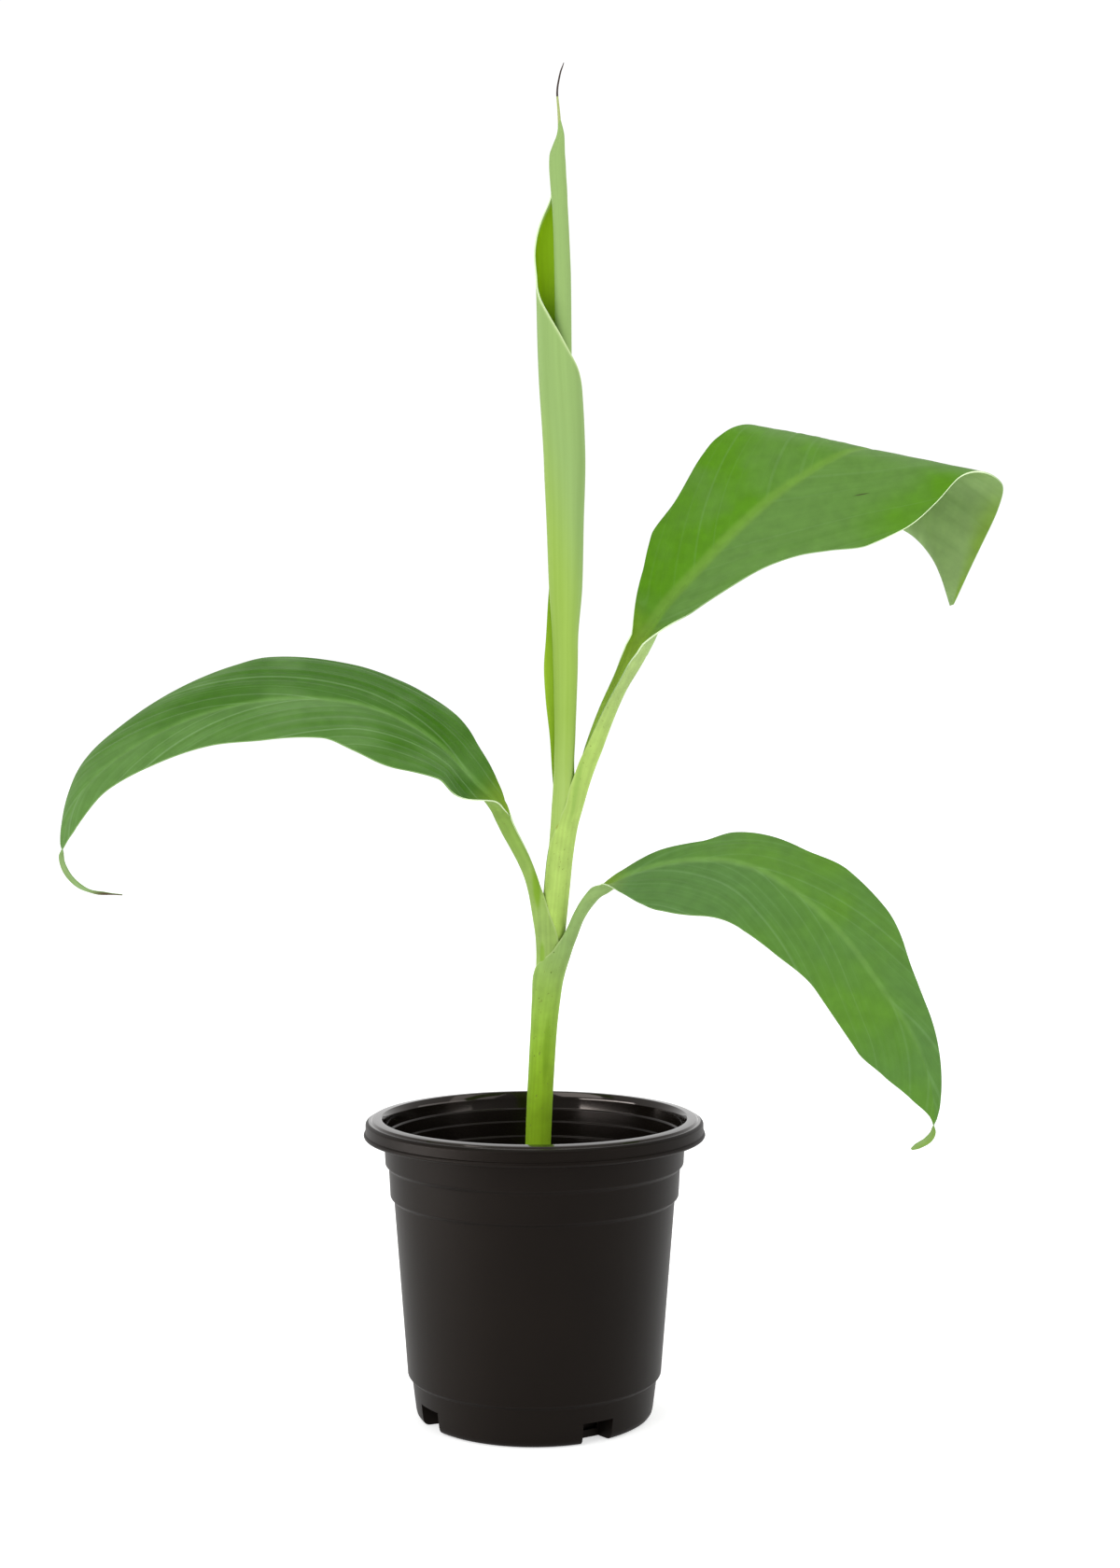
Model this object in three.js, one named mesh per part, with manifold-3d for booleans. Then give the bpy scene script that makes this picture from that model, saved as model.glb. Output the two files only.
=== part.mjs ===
// A young banana plant in a moulded nursery pot.
// Millimetres, +Z up. The origin is the middle of the pot's flat underside, +X runs to the right of the
// plant's front and +Y to its back.
import * as THREE from 'three';
import { mergeVertices } from 'three/addons/utils/BufferGeometryUtils.js';
import Module from 'manifold-3d';

const wasm = await Module();
wasm.setup();

const gap = 0.3;              // clear space between neighbouring pieces

// The pot: a standard round nursery pot about 108 mm over its rim and 94 mm tall.
const pot = {
  height: 94,
  wall: 1.2,
  floor: 1.6,
  footRadius: 37.4,           // outside, at the underside
  footRound: 2.5,
  rimRadius: 54,              // over the bead of the lip
  rimUnder: 86,
  rimEdge: 0.6,               // the bead's lower edge is taken off by this
  rimBeadFrom: 87,
  rimBeadTo: 90,
  rimTopRadius: 50,           // middle of the rounded top of the rim
  mouthRadius: 47.9,
  mouthFrom: 92.5,            // the mouth rounds over from here to the top
  mouthRollEnd: 89.6,         // where the lip's roll ends inside
  neckRadius: 47.5,           // outside, just under the lip
  neckFlare: 0.4,             // the inside opens by this from the neck to the lip's roll
  stepHalf: 0.6,              // each step of the wall is softened over twice this height
  sides: 64,
  arcPoints: 4,
};

// The outer wall widens in three small steps: height of the step, radius just below and just above it.
const potSteps = [
  { z: 10.6, below: 38.8, above: 40.1 },
  { z: 67.4, below: 44.5, above: 45.6 },
  { z: 77.8, below: 46.1, above: 47.0 },
];

// Drain pockets: notches at the foot, each with a slot through its back wall.
const drain = { count: 4, first: -148.6, width: 10, tall: 5.5, backRadius: 31.5 };
const drainSlot = { width: 6, from: 2, to: 4.4 };

const soil = { top: 76, radius: 44.4 };

// The stem of rolled leaf sheaths: middle (x, y, z) and radius, from the soil to the fork.
const stemRows = [
  [0.7, 0, soil.top + gap, 4.1],
  [2.0, 0, 105, 4.0],
  [3.8, 0, 130, 4.2],
  [5.8, 0, 148, 4.8],
  [7.4, 0.4, 165, 4.0],
  [9.4, 1, 183, 4.3],
  [11.1, 1.4, 199, 5.1],
];

// The youngest leaf, still rolled: an outer wrap whose free edge runs up slantwise, a core roll that
// stands out of it, and a dried thread at the tip.
const spearWrapRows = [
  [9.2, 1.6, 199 + gap, 3.5],
  [8.5, 1.8, 214, 4.1],
  [8.4, 2, 236, 5.4],
  [9.6, 2, 266, 5.4],
  [9.6, 2, 302, 6.6],
  [8.4, 2, 326, 6.8],
  [6.2, 2, 361, 5.8],
  [5.6, 2, 388, 5.5],
];
const spearCoreRows = [
  [8.9, 2, 320, 2.7],
  [8.9, 2, 361, 2.7],
  [7.4, 2, 391, 2.6],
  [7.2, 2, 404, 2.3],
  [7.8, 2, 410, 0.9],
  [7.4, 2, 416, 0.5],
  [7.3, 2, 422, 0.45],
  [9.4, 2, 430.6, 0.4],
];
const wrapEdge = { x: 5.7, z: 360, slope: 75 };   // the free edge's line, falling to the right, in degrees
const limb = { sides: 12, stemSteps: 16, spearSteps: 18, stalkSteps: 14 };

// The open leaves. Each blade is drawn flat along its rib, cupped at the rib, then bent over and set
// at the top of its leaf stalk. Pairs are a share of the blade's length and a value there.
//   heading, climb, bank   direction of the rib at the base, and the roll of the whole blade, in degrees
//   sway, length           how far the rib bows to its left, and its length
//   roll                   roll of the section about the rib, left side up
//   left, right            width of each half-blade, looking along the rib
//   liftLeft, liftRight    how far each half-blade stands up at the rib, in degrees
//   curl                   how far a half-blade turns between the rib and its edge, in degrees
//   bends                  distance along, slant of the bend to the rib, radius and turn, base first
//   stalk                  middle points of the leaf stalk, from inside the stem outwards, and its radii
//   splitAt                share at which an arching blade is parted, where it has no sharp fold
const leaves = [
  {
    name: 'left',
    base: [-11.7, -4, 193.5],
    heading: 191,
    climb: 56,
    bank: 0,
    sway: 0,
    length: 192,
    roll: [[0, -25], [0.12, -35], [1, -35]],
    left: [[0, 4.5], [0.03, 9], [0.06, 17], [0.09, 20], [0.13, 20], [0.22, 25.2], [0.29, 23.4],
      [0.35, 19], [0.45, 19], [0.55, 15.2], [0.65, 12], [0.71, 9.6], [0.79, 7.3], [0.84, 4.4],
      [0.875, 1], [1, 0.6]],
    right: [[0, 4.5], [0.05, 8], [0.09, 11.6], [0.15, 19.2], [0.22, 25], [0.3, 27], [0.42, 29.4],
      [0.47, 26.6], [0.56, 21.2], [0.66, 15.8], [0.71, 13.6], [0.78, 6.6], [0.84, 2.4],
      [0.875, 1], [1, 0.6]],
    liftLeft: [[0, 20], [0.07, -10], [0.11, 8], [0.25, 4], [1, 4]],
    liftRight: [[0, 20], [0.12, 12], [0.25, 4], [1, 4]],
    curl: [[0, 115], [0.05, 40], [0.1, 0], [0.2, -18], [1, -20]],
    bends: [[0, 90, 25, 10], [21, 90, 60, 35], [55, 90, 95, 56], [141, 90, 38, 45], [168, 90, 13, 85]],
    stalk: [[4.6, 0, 145], [2.6, -0.4, 150], [-0.4, -1.4, 167.4], [-4, -2.4, 177], [-8.6, -3.3, 186.5]],
    stalkRadii: [[0, 2.2], [0.3, 2.4], [0.6, 2.1], [1, 2.1]],
    splitAt: 0.42,
  },
  {
    name: 'lower_right',
    base: [22.5, -8, 167.3],
    heading: -26.5,
    climb: 34.5,
    bank: 0,
    sway: 0,
    length: 158,
    roll: [[0, 30], [0.13, 42], [1, 42]],
    left: [[0, 4], [0.1, 5.4], [0.2, 8.4], [0.25, 13.4], [0.31, 14.8], [0.37, 15.8], [0.45, 19.4],
      [0.54, 19.2], [0.66, 13.7], [0.81, 7], [0.92, 2.6], [0.95, 1], [1, 0.6]],
    right: [[0, 4], [0.05, 12], [0.1, 19.6], [0.18, 21.4], [0.35, 21], [0.48, 20.2], [0.6, 17.8],
      [0.75, 18], [0.84, 14], [0.9, 6.8], [0.945, 1.4], [1, 0.6]],
    liftLeft: [[0, 20], [0.12, 10], [0.25, -6], [1, -8]],
    liftRight: [[0, 20], [0.12, 5], [0.25, -6], [1, -8]],
    curl: [[0, 115], [0.05, 40], [0.12, 0], [1, 0]],
    bends: [[0, 90, 30, 10], [5, 90, 77, 40], [39, 90, 89, 38], [117, 90, 50, 42], [150, 90, 6, 60]],
    stalk: [[6.4, -0.6, 142], [8.7, -2, 147.3], [13.4, -4, 157.7], [16.4, -5.5, 162.5], [19, -6.6, 165]],
    stalkRadii: [[0, 2.2], [0.5, 1.7], [1, 1.9]],
    splitAt: 0.45,
  },
  {
    name: 'upper_right',
    base: [33.2, 2, 244.2],
    heading: 5,
    climb: 38.5,
    bank: 55.5,
    sway: 8,
    length: 164.5,
    roll: [[0, 0], [1, 0]],
    left: [[0, 4.5], [0.05, 11.5], [0.16, 25], [0.25, 28.8], [0.36, 36], [0.41, 37.6], [0.5, 36],
      [0.66, 27], [0.8, 17], [0.91, 8], [1, 0.6]],
    right: [[0, 4.5], [0.04, 6], [0.1, 8.6], [0.23, 12.8], [0.35, 19.2], [0.46, 32.2], [0.53, 36],
      [0.61, 35], [0.69, 32.4], [0.79, 32], [0.84, 26.6], [0.91, 15], [1, 0.6]],
    liftLeft: [[0, 20], [0.15, 8], [0.5, 0], [0.7, 10], [0.84, 65], [1, 80]],
    liftRight: [[0, 20], [0.1, 22], [0.25, 10], [0.42, 0], [1, 0]],
    curl: [[0, 115], [0.05, 50], [0.12, 0], [1, 0]],
    bends: [[83, 60.5, 10, 157]],
    stalk: [[11.6, 1.4, 194], [14.6, 1.4, 204], [18.4, 1.4, 212.5], [23.2, 1.6, 224], [28.4, 1.8, 235.8]],
    stalkRadii: [[0, 2.4], [0.4, 2.8], [1, 2.6]],
  },
];
const blade = { rib: 3.4, ribTip: 1.8, edge: 1.8, ribWidth: 2.6, steps: 24, across: 5 };

const looks = {
  pot: { color: 0x2a2624, roughness: 0.45 },
  soil: { color: 0x3a2a1e, roughness: 0.95 },
  stem: { color: 0x8fb33c, roughness: 0.45 },
  stalk: { color: 0x8cb85a, roughness: 0.45 },
  blade: { color: 0x5a9640, roughness: 0.5 },
  spear: { color: 0xa3ca68, roughness: 0.4 },
};

const weld = 1e-4;            // points nearer than this are one point
const beyondAll = 400;        // larger than the whole plant across

const rad = THREE.MathUtils.degToRad;

// The value at a share, on a smooth curve through [share, value] pairs that never swings past them: a
// cubic between each two, whose slope at a pair is the harmonic mean of the rises on its two sides.
function keyed(pairs, share) {
  const last = pairs.length - 1;
  const rise = (i) => (pairs[i + 1][1] - pairs[i][1]) / (pairs[i + 1][0] - pairs[i][0]);
  const slope = (i) => {
    const before = rise(Math.max(i - 1, 0));
    const after = rise(Math.min(i, last - 1));
    return before * after > 0 ? (2 * before * after) / (before + after) : 0;
  };
  const next = pairs.findIndex((pair) => pair[0] >= share);
  const i = THREE.MathUtils.clamp(next - 1, 0, last - 1);
  const [from, to] = [pairs[i], pairs[i + 1]];
  const span = to[0] - from[0];
  const t = (share - from[0]) / span;
  const eased = t * t * (3 - 2 * t);
  return THREE.MathUtils.lerp(from[1], to[1], eased)
    + span * t * (1 - t) * (slope(i) * (1 - t) - slope(i + 1) * t);
}

// A closed solid from rings of one even count: walls from ring to ring, and each end zipped across.
function solidFromRings(rings) {
  const count = rings[0].length;
  const position = rings.flat().flatMap((point) => point.toArray());
  const index = [];
  const quad = (a, b, c, d) => index.push(a, b, c, a, c, d);
  for (let i = 0; i + 1 < rings.length; i += 1) {
    for (let j = 0; j < count; j += 1) {
      const next = (j + 1) % count;
      quad(i * count + j, i * count + next, (i + 1) * count + next, (i + 1) * count + j);
    }
  }
  const last = (rings.length - 1) * count;
  for (let j = 0; j + 1 < count / 2; j += 1) {
    quad(count - 1 - j, count - 2 - j, j + 1, j);
    quad(last + j, last + j + 1, last + count - 2 - j, last + count - 1 - j);
  }
  const geometry = new THREE.BufferGeometry();
  geometry.setAttribute('position', new THREE.Float32BufferAttribute(position, 3));
  geometry.setIndex(index);
  return geometry;
}

function toSolid(geometry) {
  const bare = geometry.clone();
  bare.deleteAttribute('normal');
  bare.deleteAttribute('uv');
  const merged = mergeVertices(bare, weld);
  const mesh = new wasm.Mesh({
    numProp: 3,
    vertProperties: new Float32Array(merged.attributes.position.array),
    triVerts: new Uint32Array(merged.index.array),
  });
  return new wasm.Manifold(mesh);
}

function toGeometry(solid) {
  const mesh = solid.getMesh();
  const geometry = new THREE.BufferGeometry();
  geometry.setAttribute('position', new THREE.Float32BufferAttribute(mesh.vertProperties, 3));
  geometry.setIndex(Array.from(mesh.triVerts));
  return geometry;
}

const group = new THREE.Group();

function addPiece(name, solid, look) {
  const mesh = new THREE.Mesh(toGeometry(solid), new THREE.MeshStandardMaterial(look));
  mesh.name = name;
  group.add(mesh);
}

// A solid of revolution about Z, from a profile of (radius, height) that starts and ends on the axis.
function turned(profile) {
  return toSolid(new THREE.LatheGeometry(profile, pot.sides).rotateX(Math.PI / 2));
}

function potOuterProfile() {
  const path = new THREE.Path();
  path.moveTo(0, 0);
  path.lineTo(pot.footRadius - pot.footRound, 0);
  path.absarc(pot.footRadius - pot.footRound, pot.footRound, pot.footRound, -Math.PI / 2, 0);
  for (const step of potSteps) {
    path.lineTo(step.below, step.z - pot.stepHalf);
    path.lineTo(step.above, step.z + pot.stepHalf);
  }
  path.lineTo(pot.neckRadius, pot.rimUnder);
  path.lineTo(pot.rimRadius - pot.rimEdge, pot.rimUnder);
  path.lineTo(pot.rimRadius, pot.rimBeadFrom);
  path.lineTo(pot.rimRadius, pot.rimBeadTo);
  path.quadraticCurveTo(pot.rimRadius, pot.height, pot.rimTopRadius, pot.height);
  path.lineTo(0, pot.height);
  return path.getPoints(pot.arcPoints);
}

// The inside of the pot's floor and stepped wall, drawn in by a clearance, up to the last step below
// a height.
function wallInside(clearance, top) {
  const inset = pot.wall + clearance;
  const profile = [[0, pot.floor + clearance], [pot.footRadius - inset, pot.floor + clearance]];
  for (const step of potSteps.filter((each) => each.z < top)) {
    profile.push([step.below - inset, step.z - pot.stepHalf]);
    profile.push([step.above - inset, step.z + pot.stepHalf]);
  }
  return profile;
}

// Boxes round the foot, one for each drain pocket, from an inner radius out past the wall.
function drainBoxes(inner, width, from, to) {
  const outer = pot.rimRadius;
  const boxes = [];
  for (let i = 0; i < drain.count; i += 1) {
    const box = new THREE.BoxGeometry(width, outer - inner, to - from);
    box.translate(0, -(inner + outer) / 2, (from + to) / 2);
    box.rotateZ(rad(drain.first + (360 / drain.count) * i));
    boxes.push(toSolid(box));
  }
  return boxes;
}

// A solid without the drain pockets, each grown by an amount.
function clearOfPockets(solid, grown) {
  const inner = drain.backRadius - grown;
  const pockets = drainBoxes(inner, drain.width + 2 * grown, -drain.tall, drain.tall + grown);
  return pockets.reduce((rest, pocket) => rest.subtract(pocket), solid);
}

function potSolid() {
  const neck = pot.neckRadius - pot.wall;
  const above = pot.height + pot.wall;
  const room = turned([
    ...wallInside(0, pot.height),
    [neck, pot.rimUnder],
    [neck + pot.neckFlare, pot.mouthRollEnd],
    [pot.mouthRadius, pot.mouthFrom],
    [pot.rimTopRadius, pot.height],
    [pot.rimTopRadius, above],
    [0, above],
  ].map((point) => new THREE.Vector2(...point)));
  const shell = clearOfPockets(turned(potOuterProfile()), 0).subtract(clearOfPockets(room, pot.wall));
  const slots = drainBoxes(drain.backRadius - 2 * pot.wall, drainSlot.width, drainSlot.from, drainSlot.to);
  return slots.reduce((rest, slot) => rest.subtract(slot), shell);
}

function soilSolid() {
  const profile = [...wallInside(gap, soil.top), [soil.radius, soil.top], [0, soil.top]];
  const fill = turned(profile.map((point) => new THREE.Vector2(...point)));
  return clearOfPockets(fill, pot.wall + gap);
}

// A near-upright tapering limb with level rings, from rows of middle and radius, grown by an amount
// all round.
function uprightLimb(rows, grown, steps) {
  const middle = new THREE.CatmullRomCurve3(rows.map(([x, y, z]) => new THREE.Vector3(x, y, z)));
  const radii = rows.map((row, i) => [i / (rows.length - 1), row[3]]);
  const rings = [];
  for (let i = 0; i <= steps; i += 1) {
    const centre = middle.getPoint(i / steps);
    centre.z += grown * ((i === steps) - (i === 0));
    const radius = keyed(radii, i / steps) + grown;
    rings.push(Array.from({ length: limb.sides }, (_, j) => {
      const angle = (2 * Math.PI * j) / limb.sides;
      return new THREE.Vector3(radius * Math.cos(angle), radius * Math.sin(angle), 0).add(centre);
    }));
  }
  return toSolid(solidFromRings(rings));
}

// A tapering limb square to its path, with radii keyed along it.
function bentLimb(points, radii, steps) {
  const path = new THREE.CatmullRomCurve3(points);
  const frames = path.computeFrenetFrames(steps);
  const rings = [];
  for (let i = 0; i <= steps; i += 1) {
    const centre = path.getPointAt(i / steps);
    const radius = keyed(radii, i / steps);
    rings.push(Array.from({ length: limb.sides }, (_, j) => {
      const angle = (2 * Math.PI * j) / limb.sides;
      return centre.clone()
        .addScaledVector(frames.normals[i], radius * Math.cos(angle))
        .addScaledVector(frames.binormals[i], radius * Math.sin(angle));
    }));
  }
  return toSolid(solidFromRings(rings));
}

// Bend a point of the flat blade (x along the rib, y to the left, z up) down over an axis that lies at
// a slant to the rib: straight up to the bend, round its radius, then straight on.
function bendOver(point, [at, slant, radius, turn]) {
  const axis = new THREE.Vector2(Math.cos(rad(slant)), -Math.sin(rad(slant)));
  const along = point.x * axis.x + point.y * axis.y;
  const reach = -point.x * axis.y + point.y * axis.x;
  const angle = THREE.MathUtils.clamp((reach - at) / radius, 0, rad(turn));
  const rest = reach - at - radius * angle;
  const bent = at + (radius + point.z) * Math.sin(angle) + rest * Math.cos(angle);
  const height = (radius + point.z) * Math.cos(angle) - radius - rest * Math.sin(angle);
  return new THREE.Vector3(along * axis.x - bent * axis.y, along * axis.y + bent * axis.x, height);
}

// Set a bent blade at the top of its stalk.
function setLeaf(leaf) {
  return new THREE.Matrix4()
    .makeTranslation(...leaf.base)
    .multiply(new THREE.Matrix4().makeRotationZ(rad(leaf.heading)))
    .multiply(new THREE.Matrix4().makeRotationY(-rad(leaf.climb)))
    .multiply(new THREE.Matrix4().makeRotationX(rad(leaf.bank)));
}

// A point of a blade: share along the rib, across from -1 (right edge) to 1 (left edge), and height
// above the middle of its thickness. Each half of the section is an arc from the rib to the edge.
function leafPoint(leaf, share, across, height) {
  const side = across < 0 ? -1 : 1;
  const width = keyed(side < 0 ? leaf.right : leaf.left, share) * Math.abs(across);
  const lift = rad(keyed(side < 0 ? leaf.liftRight : leaf.liftLeft, share));
  const halfTurn = (rad(keyed(leaf.curl, share)) * Math.abs(across)) / 2;
  const chord = halfTurn === 0 ? width : (width * Math.sin(halfTurn)) / halfTurn;
  const facing = across === 0 ? 0 : lift + 2 * halfTurn;
  const y = side * (chord * Math.cos(lift + halfTurn) - height * Math.sin(facing));
  const z = chord * Math.sin(lift + halfTurn) + height * Math.cos(facing);
  let point = new THREE.Vector3(0, y, z);
  point.applyAxisAngle(new THREE.Vector3(1, 0, 0), rad(keyed(leaf.roll, share)));
  point.x = share * leaf.length;
  point.y += 4 * leaf.sway * share * (1 - share);
  for (const bend of leaf.bends.toReversed()) {
    point = bendOver(point, bend);
  }
  return point.applyMatrix4(setLeaf(leaf));
}

// A stretch of a blade, thickest at its rib, as a closed solid.
function bladeSolid(leaf, from, to) {
  const steps = Math.ceil(blade.steps * (to - from));
  const rings = [];
  for (let i = 0; i <= steps; i += 1) {
    const share = THREE.MathUtils.lerp(from, to, i / steps);
    const rib = THREE.MathUtils.lerp(blade.rib, blade.ribTip, share);
    const ring = [];
    for (let j = -blade.across; j <= blade.across; j += 1) {
      const across = j / blade.across;
      const width = keyed(across < 0 ? leaf.right : leaf.left, share) * Math.abs(across);
      const thick = blade.edge + (rib - blade.edge) * Math.exp(-((width / blade.ribWidth) ** 2));
      ring[blade.across - j] = leafPoint(leaf, share, across, thick / 2);
      ring[3 * blade.across + 1 + j] = leafPoint(leaf, share, across, -thick / 2);
    }
    rings.push(ring);
  }
  return toSolid(solidFromRings(rings));
}

// Half of all space on one side of the plane that halves a blade's first bend, as a large box.
function besideBend(leaf, beyond) {
  const [at, slant, radius, turn] = leaf.bends[0];
  const box = new THREE.BoxGeometry(beyondAll, beyondAll, beyondAll);
  box.translate((beyond ? 1 : -1) * (beyondAll / 2 + gap / 2), 0, 0);
  box.rotateY(rad(turn) / 2);
  box.translate(at, 0, -radius);
  box.rotateZ(rad(90 - slant));
  return toSolid(box.applyMatrix4(setLeaf(leaf)));
}

// The leaf stalk: from the stem, along its own points, into the line of the rib, cut square at the blade.
function stalkSolid(leaf) {
  const spare = 1;            // the path runs on past the cut
  const clear = 12;           // size of the box that cuts it
  const base = leafPoint(leaf, 0, 0, 0);
  const ahead = leafPoint(leaf, spare / leaf.length, 0, 0).sub(base).normalize();
  const points = leaf.stalk.map((point) => new THREE.Vector3(...point));
  points.push(base.clone().addScaledVector(ahead, spare));
  const beyond = new THREE.BoxGeometry(clear, clear, clear).translate(clear / 2, 0, 0);
  return bentLimb(points, leaf.stalkRadii, limb.stalkSteps)
    .subtract(toSolid(beyond.applyMatrix4(setLeaf(leaf))));
}

// The rolled leaf: its wrap is cut off slantwise along the free edge, and the core stands out of it.
function spearSolid(grown) {
  const cut = new THREE.BoxGeometry(beyondAll, beyondAll, beyondAll);
  cut.translate(0, 0, beyondAll / 2);
  cut.rotateY(rad(wrapEdge.slope));
  cut.translate(wrapEdge.x, 0, wrapEdge.z);
  const wrap = uprightLimb(spearWrapRows, grown, limb.spearSteps).subtract(toSolid(cut));
  return wrap.add(uprightLimb(spearCoreRows, grown, limb.spearSteps));
}

addPiece('pot', potSolid(), looks.pot);
addPiece('soil', soilSolid(), looks.soil);
addPiece('stem', uprightLimb(stemRows, 0, limb.stemSteps), looks.stem);
addPiece('spear_leaf', spearSolid(0), looks.spear);

for (const leaf of leaves) {
  const stalk = stalkSolid(leaf)
    .subtract(uprightLimb(stemRows, gap, limb.stemSteps))
    .subtract(spearSolid(gap));
  addPiece(`stalk_${leaf.name}`, stalk, looks.stalk);

  const start = gap / leaf.length;
  let halves;
  if (leaf.splitAt) {
    const halfGap = start / 2;
    halves = [bladeSolid(leaf, start, leaf.splitAt - halfGap), bladeSolid(leaf, leaf.splitAt + halfGap, 1)];
  } else {
    const whole = bladeSolid(leaf, start, 1);
    halves = [whole.intersect(besideBend(leaf, false)), whole.intersect(besideBend(leaf, true))];
  }
  addPiece(`blade_${leaf.name}_inner`, halves[0], looks.blade);
  addPiece(`blade_${leaf.name}_outer`, halves[1], looks.blade);
}

export default group;
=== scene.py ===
# A young banana plant in a moulded nursery pot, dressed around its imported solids.
# Sizes in the dictionaries are millimetres, and heights are above the pot's underside.
import math
import bpy
import numpy as np
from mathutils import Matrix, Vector


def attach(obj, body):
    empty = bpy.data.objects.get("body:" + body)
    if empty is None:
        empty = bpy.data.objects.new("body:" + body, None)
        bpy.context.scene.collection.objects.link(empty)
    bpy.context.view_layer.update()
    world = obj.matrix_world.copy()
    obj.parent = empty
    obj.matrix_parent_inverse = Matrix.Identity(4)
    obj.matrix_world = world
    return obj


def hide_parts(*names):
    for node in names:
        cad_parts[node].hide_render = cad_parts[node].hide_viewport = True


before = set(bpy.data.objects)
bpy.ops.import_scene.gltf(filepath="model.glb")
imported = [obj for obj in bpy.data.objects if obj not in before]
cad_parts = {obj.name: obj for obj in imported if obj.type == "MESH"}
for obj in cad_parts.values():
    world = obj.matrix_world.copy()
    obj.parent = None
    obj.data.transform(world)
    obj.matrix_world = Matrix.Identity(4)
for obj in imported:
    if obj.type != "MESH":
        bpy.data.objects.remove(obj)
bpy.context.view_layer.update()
scene = bpy.context.scene
mm = 0.001


# linear colour of an sRGB hex code: each channel through the sRGB curve
def hexColour(code):
    channel = np.array([int(code[i:i + 2], 16) for i in (1, 3, 5)]) / 255
    linear = np.where(channel <= 0.04045, channel / 12.92, ((channel + 0.055) / 1.055) ** 2.4)
    return (*linear.tolist(), 1.0)


# 0 below low, 1 above high, and an S-shaped rise between
def easeBetween(low, high, x):
    t = np.clip((x - low) / (high - low), 0, 1)
    return t * t * (3 - 2 * t)


# value at x on a curve through (x, value) pairs that never swings past them: cubic pieces whose
# slope at a pair is the harmonic mean of the rises on its two sides
def keyed(pairs, x):
    at, value = np.array(pairs, float).T
    x = np.clip(x, at[0], at[-1])
    rise = np.diff(value) / np.diff(at)
    before, after = np.r_[rise[:1], rise], np.r_[rise, rise[-1:]]
    sameWay = before * after > 0
    slope = np.where(sameWay, 2 * before * after / np.where(sameWay, before + after, 1), 0)
    i = np.clip(np.searchsorted(at, x) - 1, 0, len(rise) - 1)
    span = at[i + 1] - at[i]
    t = (x - at[i]) / span
    swing = span * t * (1 - t) * (slope[i] * (1 - t) - slope[i + 1] * t)
    return value[i] + (value[i + 1] - value[i]) * t * t * (3 - 2 * t) + swing


# places at shares of a path through points: cubic pieces over the chord length, with the slope at
# each point taken from its two neighbours
def throughPoints(points, shares):
    points = np.array(points, float)
    at = np.r_[0, np.cumsum(np.linalg.norm(np.diff(points, axis=0), axis=1))]
    slope = np.gradient(points, at, axis=0)
    x = shares * at[-1]
    i = np.clip(np.searchsorted(at, x) - 1, 0, len(at) - 2)
    span = (at[i + 1] - at[i])[:, None]
    t = (x - at[i])[:, None] / span
    swing = span * t * (1 - t) * (slope[i] * (1 - t) - slope[i + 1] * t)
    return points[i] + (points[i + 1] - points[i]) * t * t * (3 - 2 * t) + swing


# rows of vectors made one long
def unit(vectors):
    return vectors / np.linalg.norm(vectors, axis=-1, keepdims=True)


# quads of a grid of vertex numbers, facing down-row cross along-column; turned swaps the side
def gridQuads(index, turned=False):
    corners = [index[:-1, :-1], index[1:, :-1], index[1:, 1:], index[:-1, 1:]]
    if turned:
        corners = corners[::-1]
    return np.stack(corners, -1).reshape(-1, 4)


# a mesh piece from whole arrays: points in mm, quads, a material number for each quad, and
# values by name that are kept on its points
def addPiece(name, points, quads, materials, quadMaterial=0, uv=None, values=None, sharpOver=55):
    mesh = bpy.data.meshes.new(name)
    mesh.vertices.add(len(points))
    mesh.vertices.foreach_set("co", (points * mm).astype(np.float32).ravel())
    mesh.loops.add(quads.size)
    mesh.loops.foreach_set("vertex_index", quads.astype(np.int32).ravel())
    mesh.polygons.add(len(quads))
    mesh.polygons.foreach_set("loop_start", np.arange(0, quads.size, 4, dtype=np.int32))
    numbers = np.broadcast_to(np.asarray(quadMaterial, np.int32), len(quads))
    mesh.polygons.foreach_set("material_index", np.ascontiguousarray(numbers))
    for material in materials:
        mesh.materials.append(material)
    mesh.update(calc_edges=True)
    if uv is not None:
        layer = mesh.uv_layers.new(name="fibres")
        layer.uv.foreach_set("vector", uv[quads.ravel()].astype(np.float32).ravel())
    for key, value in (values or {}).items():
        kept = mesh.attributes.new(key, "FLOAT", "POINT")
        kept.data.foreach_set("value", value.astype(np.float32).ravel())
    mesh.polygons.foreach_set("use_smooth", np.ones(len(quads), bool))
    mesh.set_sharp_from_angle(angle=math.radians(sharpOver))
    piece = bpy.data.objects.new(name, mesh)
    scene.collection.objects.link(piece)
    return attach(piece, "root")


# a closed sheet from two grids of points, its face and its back: the grids, a strip down each
# long edge and one across each end; materials are face, back and edge
def addSheet(name, face, back, materials, uv=None, values=None, sharpOver=55):
    rows, columns = face.shape[:2]
    index = np.arange(2 * rows * columns).reshape(2, rows, columns)
    edges = [gridQuads(np.stack([index[1, :, 0], index[0, :, 0]], 1)),
             gridQuads(np.stack([index[0, :, -1], index[1, :, -1]], 1)),
             gridQuads(np.stack([index[0, 0], index[1, 0]], 1)),
             gridQuads(np.stack([index[1, -1], index[0, -1]], 1))]
    sides = [gridQuads(index[0]), gridQuads(index[1], turned=True), *edges]
    number = np.repeat([0, 1, 2, 2, 2, 2], [len(side) for side in sides])
    points = np.concatenate([face.reshape(-1, 3), back.reshape(-1, 3)])
    twice = {key: np.r_[value.ravel(), value.ravel()] for key, value in (values or {}).items()}
    bothUv = None if uv is None else np.tile(uv.reshape(-1, 2), (2, 1))
    return addPiece(name, points, np.concatenate(sides), materials, number, bothUv, twice, sharpOver)


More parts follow.
